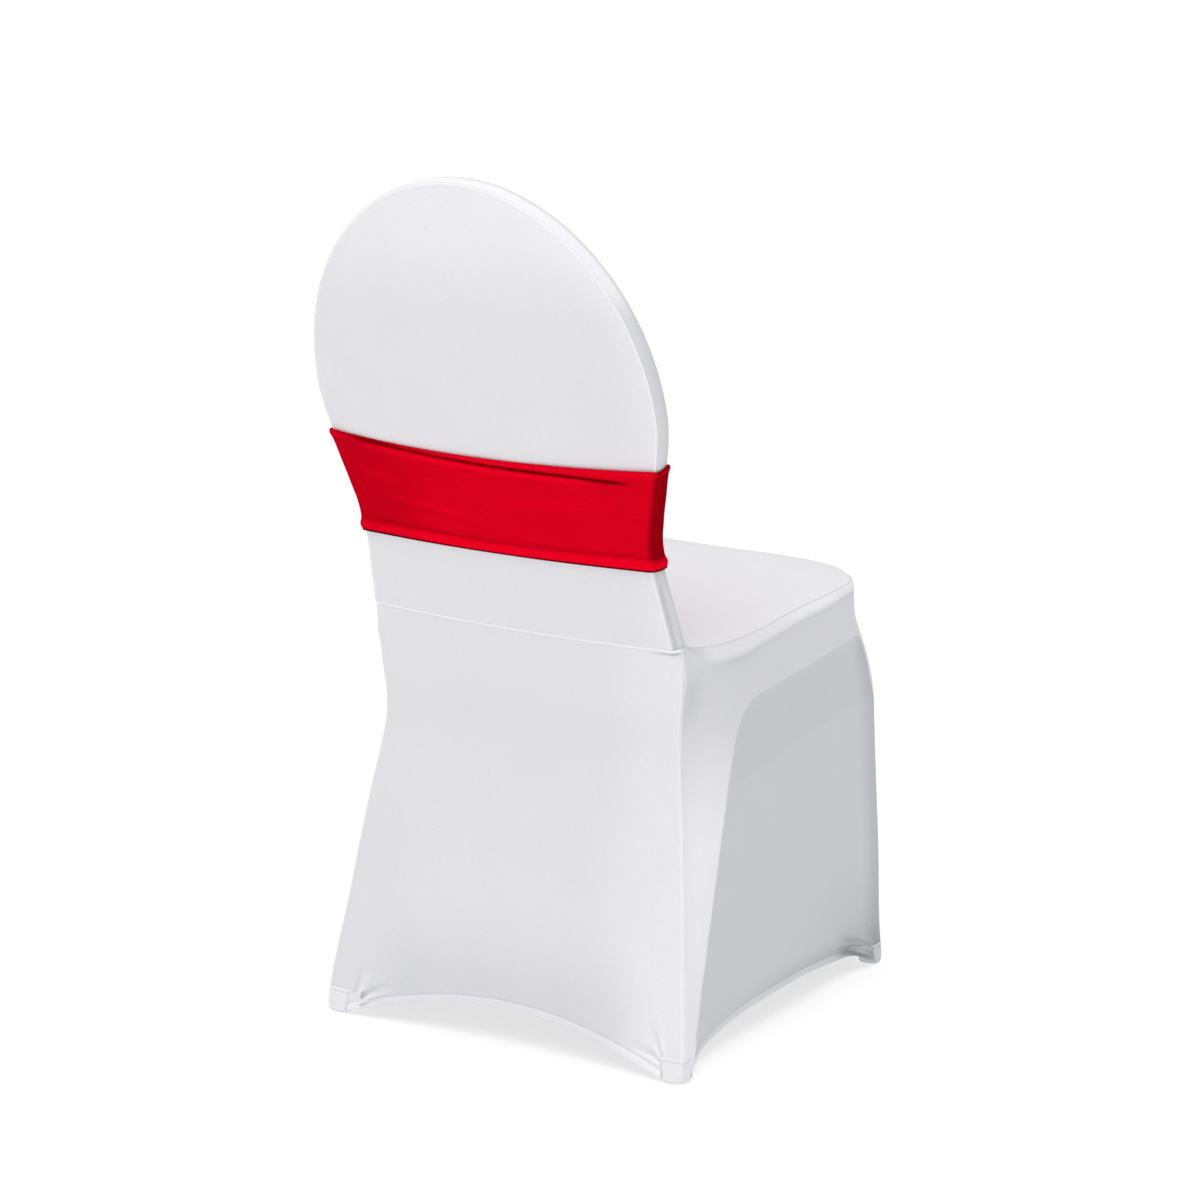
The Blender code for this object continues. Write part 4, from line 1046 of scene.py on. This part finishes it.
def round_box(x0, x1, y0, y1, radius, count):
    """count points round an upright box with round corners, counter-clockwise from above."""
    corners = []
    for cx, cy, start in ((x1, y1, 0), (x0, y1, 90), (x0, y0, 180), (x1, y0, 270)):
        ax = cx + (radius if cx == x0 else -radius)
        ay = cy + (radius if cy == y0 else -radius)
        for turn in np.linspace(0, 90, 9):
            angle = math.radians(start + turn)
            corners.append((ax + radius * math.cos(angle), ay + radius * math.sin(angle)))
    loop = np.array(corners + corners[:1])
    length = np.concatenate([[0], np.cumsum(np.linalg.norm(np.diff(loop, axis=0), axis=1))])
    at = np.linspace(0, length[-1], count, endpoint=False)
    return np.stack([np.interp(at, length, loop[:, 0]), np.interp(at, length, loop[:, 1])], 1), at


def pocket(name, sign, rear, seed):
    """A sewn cup round the chair's foot: a bound top edge and a puckered bottom seam."""
    count = 132
    dice = np.random.default_rng(seed)
    ragged = sum(np.sin(np.arange(count) * 2 * math.pi * k / count + dice.uniform(0, 6)) for k in (5, 9, 14, 21)) / 4
    tall = POCKET_HEIGHT if rear else FRONT_POCKET_HEIGHT
    levels = [(0.0030, tall - 0.0060), (0.0014, tall - 0.0012), (0.0006, tall + 0.0002), (-0.0001, tall + 0.0004)]
    heights = np.concatenate([np.linspace(tall - 0.0002, tall - 0.0060, 9),
                              np.linspace(tall - 0.0072, 0.0050, 12), np.linspace(0.0044, 0.0012, 6)])
    levels += [(-0.0003, z) for z in heights]
    levels += [(0.0000, 0.0006), (0.0007, 0.0002), (0.0018, 0.0), (0.0050, 0.0002), (0.0085, 0.0004)]
    rings = []
    tones = []
    for inward, z in levels:
        radius = max(POCKET_ROUND - inward, 0.0009) + 0.0050 * math.exp(-(z / 0.007)**2)
        box = pocket_corners(z, rear, -inward)
        flat, at = round_box(*box, radius, count)
        corner = np.exp(-(np.hypot(flat[:, 0] - box[1], flat[:, 1] - box[3 if rear else 2]) / 0.012)**2)
        below = tall - z
        band = 0.0005 * math.exp(-((below - 0.0014) / 0.0011)**2) - 0.0004 * math.exp(-((below - 0.0034) / 0.0007)**2)
        seam = 0.0003 * math.exp(-((z - 0.0040) / 0.0010)**2)
        way = flat - np.roll(flat, 1, 0)
        way = way + np.roll(way, -1, 0)
        out = np.stack([way[:, 1], -way[:, 0]], 1)
        out /= np.linalg.norm(out, axis=1, keepdims=True)
        drop = 0.0007 * ragged * math.exp(-(z / 0.004)**2)
        flat = flat + out * (band + seam + drop * 0.6)[:, None]
        height = np.clip(z + drop * 0.8 + 0.0022 * corner * math.exp(-(z / 0.005)**2), 0, None)
        rings.append(np.column_stack([flat * (sign, 1), np.broadcast_to(height, count)]))
        # Painted shade along the groove under the bound top edge and along the bottom seam, and on the front pockets'
        # outer side face; the rear pockets are lighter
        seams = 0.16 * math.exp(-((below - 0.0034) / 0.0008)**2) + 0.25 * math.exp(-((z - 0.0024) / 0.0008)**2)
        outer_side = smooth(box[1] - 0.0040, box[1] - 0.0012, flat[:, 0])
        tones.append((0.80 if rear else 0.66 - 0.36 * outer_side) - seams + 0 * at)
    grid = np.array(rings)
    tone = np.array(tones)
    knit = np.stack([np.broadcast_to(at[None], grid.shape[:2]), grid[..., 2]], -1)
    return add_grid(name, grid, tone, knit, WHITE_KNIT, sign > 0, wrap=True, thickness=0.0008)


# Sash
SASH_FOLDS = (
    (-0.0028, 0.0021, "long", ((0.188, 0.6462), (0.150, 0.6440), (0.100, 0.6420), (0.040, 0.6396), (-0.020, 0.6376),
                               (-0.080, 0.6362), (-0.120, 0.6350), (-0.170, 0.6330))),
    (0.0010, 0.0024, "long", ((0.170, 0.6390), (0.100, 0.6368), (0.020, 0.6340), (-0.060, 0.6318), (-0.130, 0.6312))),
    (0.0003, 0.0042, "both", ((0.165, 0.5880), (0.118, 0.5824), (0.069, 0.5800), (0.020, 0.5745), (-0.010, 0.5700))),
    (-0.0003, 0.0034, "both", ((0.165, 0.5830), (0.118, 0.5778), (0.069, 0.5750), (0.015, 0.5690))),
    (0.0002, 0.0050, "both", ((0.010, 0.5950), (-0.050, 0.5990), (-0.100, 0.6030), (-0.152, 0.6080))),
    (0.0003, 0.0040, "both", ((0.175, 0.6110), (0.140, 0.6070), (0.100, 0.6050))),
    (-0.0004, 0.0024, "long", ((0.177, 0.5590), (0.148, 0.5560), (0.100, 0.5525), (0.030, 0.5500), (-0.050, 0.5500),
                               (-0.120, 0.5520), (-0.172, 0.5560))),
)
SASH_LUMP = 0.0012


def hood_ring(height, drop, back_u, side_share, inside_u):
    """The back's outline at one height, counter-clockwise from above, with how far the sash clears it."""
    reach = float(half_width(height))
    z = height - drop * (1 - back_u**2)
    x = reach * back_u
    y = edge_y(z) + dome(x, z, BACK["bulge"](z), ARCH_BULGE)
    clear = SASH_GAP + (SASH_EDGE_GAP - SASH_GAP) * np.abs(back_u)**SASH_EDGE_POWER
    back = np.column_stack([x, y, z, clear])
    swell = GUSSET_ROUND * 4 * side_share * (1 - side_share)
    edge = float(edge_y(height))
    front = edge - GUSSET
    rise = SASH_SIDE_RISE * smooth(SASH_BOTTOM, SASH_TOP, height) * smooth(0, 1, side_share)
    level = height + rise
    right = np.column_stack([-reach - swell, edge - GUSSET * side_share + LEAN * rise, level,
                             np.full(len(side_share), SASH_EDGE_GAP)])
    lift = SASH_SIDE_RISE * smooth(SASH_BOTTOM, SASH_TOP, height) * smooth(1, -1, inside_u)
    inner = front + INSIDE_SAG * (1 - inside_u**2) + LEAN * lift
    clear = SASH_GAP + (SASH_EDGE_GAP - SASH_GAP) * np.abs(inside_u)**SASH_EDGE_POWER
    across = np.column_stack([reach * inside_u, inner, height + lift, clear])
    left = np.column_stack([reach + swell, edge - GUSSET * side_share, np.full(len(side_share), height),
                            np.full(len(side_share), SASH_EDGE_GAP)])[::-1]
    return np.vstack([back, right, across, left])


def grown(ring, extra):
    """A ring moved out, level with itself, by its own clearance and by extra."""
    flat = ring[:, :2]
    ahead = np.roll(flat, -1, 0) - flat
    ahead /= np.maximum(np.linalg.norm(ahead, axis=1), 1e-9)[:, None]
    behind = np.roll(ahead, 1, 0)
    normal = np.stack([(ahead + behind)[:, 1], -(ahead + behind)[:, 0]], 1)
    normal /= np.linalg.norm(normal, axis=1)[:, None]
    for _ in range(6):
        normal = np.roll(normal, 1, 0) + 2 * normal + np.roll(normal, -1, 0)
        normal /= np.linalg.norm(normal, axis=1)[:, None]
    return np.column_stack([flat + normal * (ring[:, 3] + extra)[:, None], ring[:, 2]])


def sash():
    """The red band: a folded top edge, a rolled bottom edge that gathers into lumps at the sides, soft drag folds."""
    back_u = np.linspace(1, -1, 220)[:-1]
    side_share = np.linspace(0, 1, 26)[:-1]
    inside_u = np.linspace(-1, 1, 130)[:-1]
    levels = steps([0.0, 1.0], 0.020, 0.010, 0.12)
    edges = np.concatenate([np.zeros(len(back_u)), np.ones(len(side_share)), np.zeros(len(inside_u)),
                            np.ones(len(side_share))])
    soft = edges.copy()
    for _ in range(4):
        soft = (np.roll(soft, 1) + 2 * soft + np.roll(soft, -1)) / 4
    side = (np.roll(edges, 1) + 2 * edges + np.roll(edges, -1)) / 4
    rings = []
    reliefs = []
    lip = hood_ring(SASH_TOP, SASH_SAG, back_u, side_share, inside_u)
    lip[:, 3] = 0
    rings.append(grown(lip, 0.0010))
    reliefs.append(np.zeros(len(lip)))
    for share in levels:
        height = SASH_TOP + (SASH_BOTTOM - SASH_TOP) * share
        ring = hood_ring(height, SASH_SAG * (1 - share), back_u, side_share, inside_u)
        x, z = ring[:, 0], ring[:, 2]
        top = 0.0014 * math.exp(-((share - 0.030) / 0.022)**2) * (1 - soft)
        bottom = 0.0023 * math.exp(-((share - 0.945) / 0.038)**2) * (1 - 0.55 * soft)
        lump = SASH_LUMP * math.exp(-((share - 0.93) / 0.045)**2) * soft
        back = np.arange(len(x)) < len(back_u)
        creases = np.where(back, folds(x, z, SASH_FOLDS), 0)
        around = np.arange(len(x)) / len(x)
        drag = 0.0006 * soft * np.sin(2 * math.pi * (share * 3.2 + 0.3)) * (1 - share)
        slow = unevenness(around * 1.2, np.full(len(x), share * 0.11), 0.0005, 31)
        extra = 0.0016 - 0.0012 * soft + top + bottom + lump + creases + drag + slow * math.sin(math.pi * share)
        rings.append(grown(ring, extra))
        reliefs.append(creases)
    grid = np.array(rings)
    inward = []
    for turn, fall in ((0.0006, 0.0006), (0.0016, 0.0008)):
        ring = rings[-1].copy()
        centre = np.array([0, ring[:, 1].mean()])
        way = centre - ring[:, :2]
        way /= np.linalg.norm(way, axis=1)[:, None]
        ring[:, :2] += way * turn
        ring[:, 2] += 0.0002 - fall * 0.5
        inward.append(ring)
    grid = np.concatenate([grid, np.array(inward)])
    around = run(np.concatenate([grid, grid[:, :1]], axis=1), 1)[:, :-1]
    down = run(grid, 0)
    shares = np.concatenate([[0], levels, (1, 1)])[:, None]
    # Darker towards the left end
    tone = 0.79 - 0.22 * smooth(0.05, 0.16, grid[..., 0])
    crease = np.vstack([reliefs, np.zeros((2, grid.shape[1]))])
    # Painted shade in the fold troughs and painted highlight on the ridges
    tone = tone + np.clip(crease * 420, -0.74, 0.25)
    # Painted highlights on the folded top edge and on the rolled bottom edge, painted shade above the roll and a
    # painted shadow on its underside, painted shade on the side faces
    tone = tone + 0.20 * np.exp(-((shares - 0.02) / 0.02)**2) + 0.36 * np.exp(-((shares - 0.935) / 0.038)**2)
    tone = tone - 0.10 * np.exp(-((shares - 0.865) / 0.022)**2)
    tone = tone - 1.0 * smooth(0.978, 0.992, shares)
    tone = np.clip(tone - 0.62 * side[None] * smooth(1.0, 0.85, shares), -0.28, 1.05)
    return add_grid("Sash", grid, tone, np.stack([around, down], -1), RED_KNIT, False, wrap=True)


outer_panel, inside_panel = back_panels()
gusset_piece = gusset()
seat_piece = seat()
rear_piece = skirt_between("Back_skirt", rear_row, rear_seam, REAR_FOLDS + REAR_WAIST_FOLDS, 1, 41)
front_piece = skirt_between("Front_skirt", front_row, None, (), -1, 42)
side_left = side_skirt("Side_skirt_left", 1)
side_right = side_skirt("Side_skirt_right", -1)
pockets = [
    pocket("Foot_pocket_rear_left", 1, True, 51),
    pocket("Foot_pocket_rear_right", -1, True, 52),
    pocket("Foot_pocket_front_left", 1, False, 53),
    pocket("Foot_pocket_front_right", -1, False, 54),
]
sash_piece = sash()

white_pieces = {
    outer_panel: ("back_upper", (0.385, 0.450), 0.150),
    inside_panel: ("inside_back", (0.385, 0.440), 0.145),
    gusset_piece: ("gusset", (0.022, 1.15), None),
    seat_piece: ("seat_top", (0.395, 0.370), None),
    rear_piece: ("back_skirt", (0.385, 0.420), None),
    front_piece: ("front_skirt", (0.385, 0.420), None),
    side_left: ("side_skirt_left", (0.385, 0.420), None),
    side_right: ("side_skirt_right", (0.385, 0.420), None),
    pockets[0]: ("foot_pocket_rear_left", (0.092, 0.036), None),
    pockets[1]: ("foot_pocket_rear_right", (0.092, 0.036), None),
    pockets[2]: ("foot_pocket_front_left", (0.082, 0.032), None),
    pockets[3]: ("foot_pocket_front_right", (0.082, 0.032), None),
}
for piece, (name, flat, area) in white_pieces.items():
    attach(piece, "root")
    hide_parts(name)
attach(sash_piece, "root")
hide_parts("sash")


# Floor, light and camera
def plain_floor():
    mesh = bpy.data.meshes.new("Floor")
    mesh.from_pydata([(-60, -60, 0), (60, -60, 0), (60, 60, 0), (-60, 60, 0)], [], [(0, 1, 2, 3)])
    made = bpy.data.materials.new("floor")
    made.use_nodes = True
    shader = made.node_tree.nodes["Principled BSDF"]
    shader.inputs["Base Color"].default_value = (0.42, 0.42, 0.423, 1.0)
    shader.inputs["Roughness"].default_value = 0.9
    shader.inputs["Specular IOR Level"].default_value = 0.0
    shader.inputs["Emission Color"].default_value = (1.0, 1.0, 1.0, 1.0)
    shader.inputs["Emission Strength"].default_value = 0.64
    mesh.materials.append(made)
    floor = bpy.data.objects.new("Floor", mesh)
    bpy.context.scene.collection.objects.link(floor)
    floor.location = (0, 0, -0.0005)


def studio():
    world = bpy.data.worlds.new("Studio")
    world.use_nodes = True
    sky = world.node_tree.nodes["Background"]
    sky.inputs["Color"].default_value = (0.985, 0.99, 1.0, 1.0)
    sky.inputs["Strength"].default_value = 0.55
    bpy.context.scene.world = world
    key = bpy.data.lights.new("Key", "SUN")
    key.energy = 1.75
    key.angle = math.radians(55)
    lamp = bpy.data.objects.new("Key", key)
    lamp.rotation_euler = Vector((0.04, -0.28, -0.95)).to_track_quat("-Z", "Y").to_euler()
    bpy.context.scene.collection.objects.link(lamp)


def photo_camera():
    turn, tip = math.radians(31.661), math.radians(14.914)
    camera = bpy.data.cameras.new("Camera")
    camera.lens = 132.58
    camera.sensor_width = 36
    camera.shift_x = 0.0547
    camera.shift_y = 0.0298
    eye = bpy.data.objects.new("Camera", camera)
    eye.location = (-2.28299, 3.83714, 1.60841)
    look = Vector((math.sin(turn) * math.cos(tip), -math.cos(turn) * math.cos(tip), -math.sin(tip)))
    eye.rotation_euler = look.to_track_quat("-Z", "Y").to_euler()
    bpy.context.scene.collection.objects.link(eye)
    bpy.context.scene.camera = eye


plain_floor()
studio()
photo_camera()
bpy.context.scene.view_settings.view_transform = "Standard"
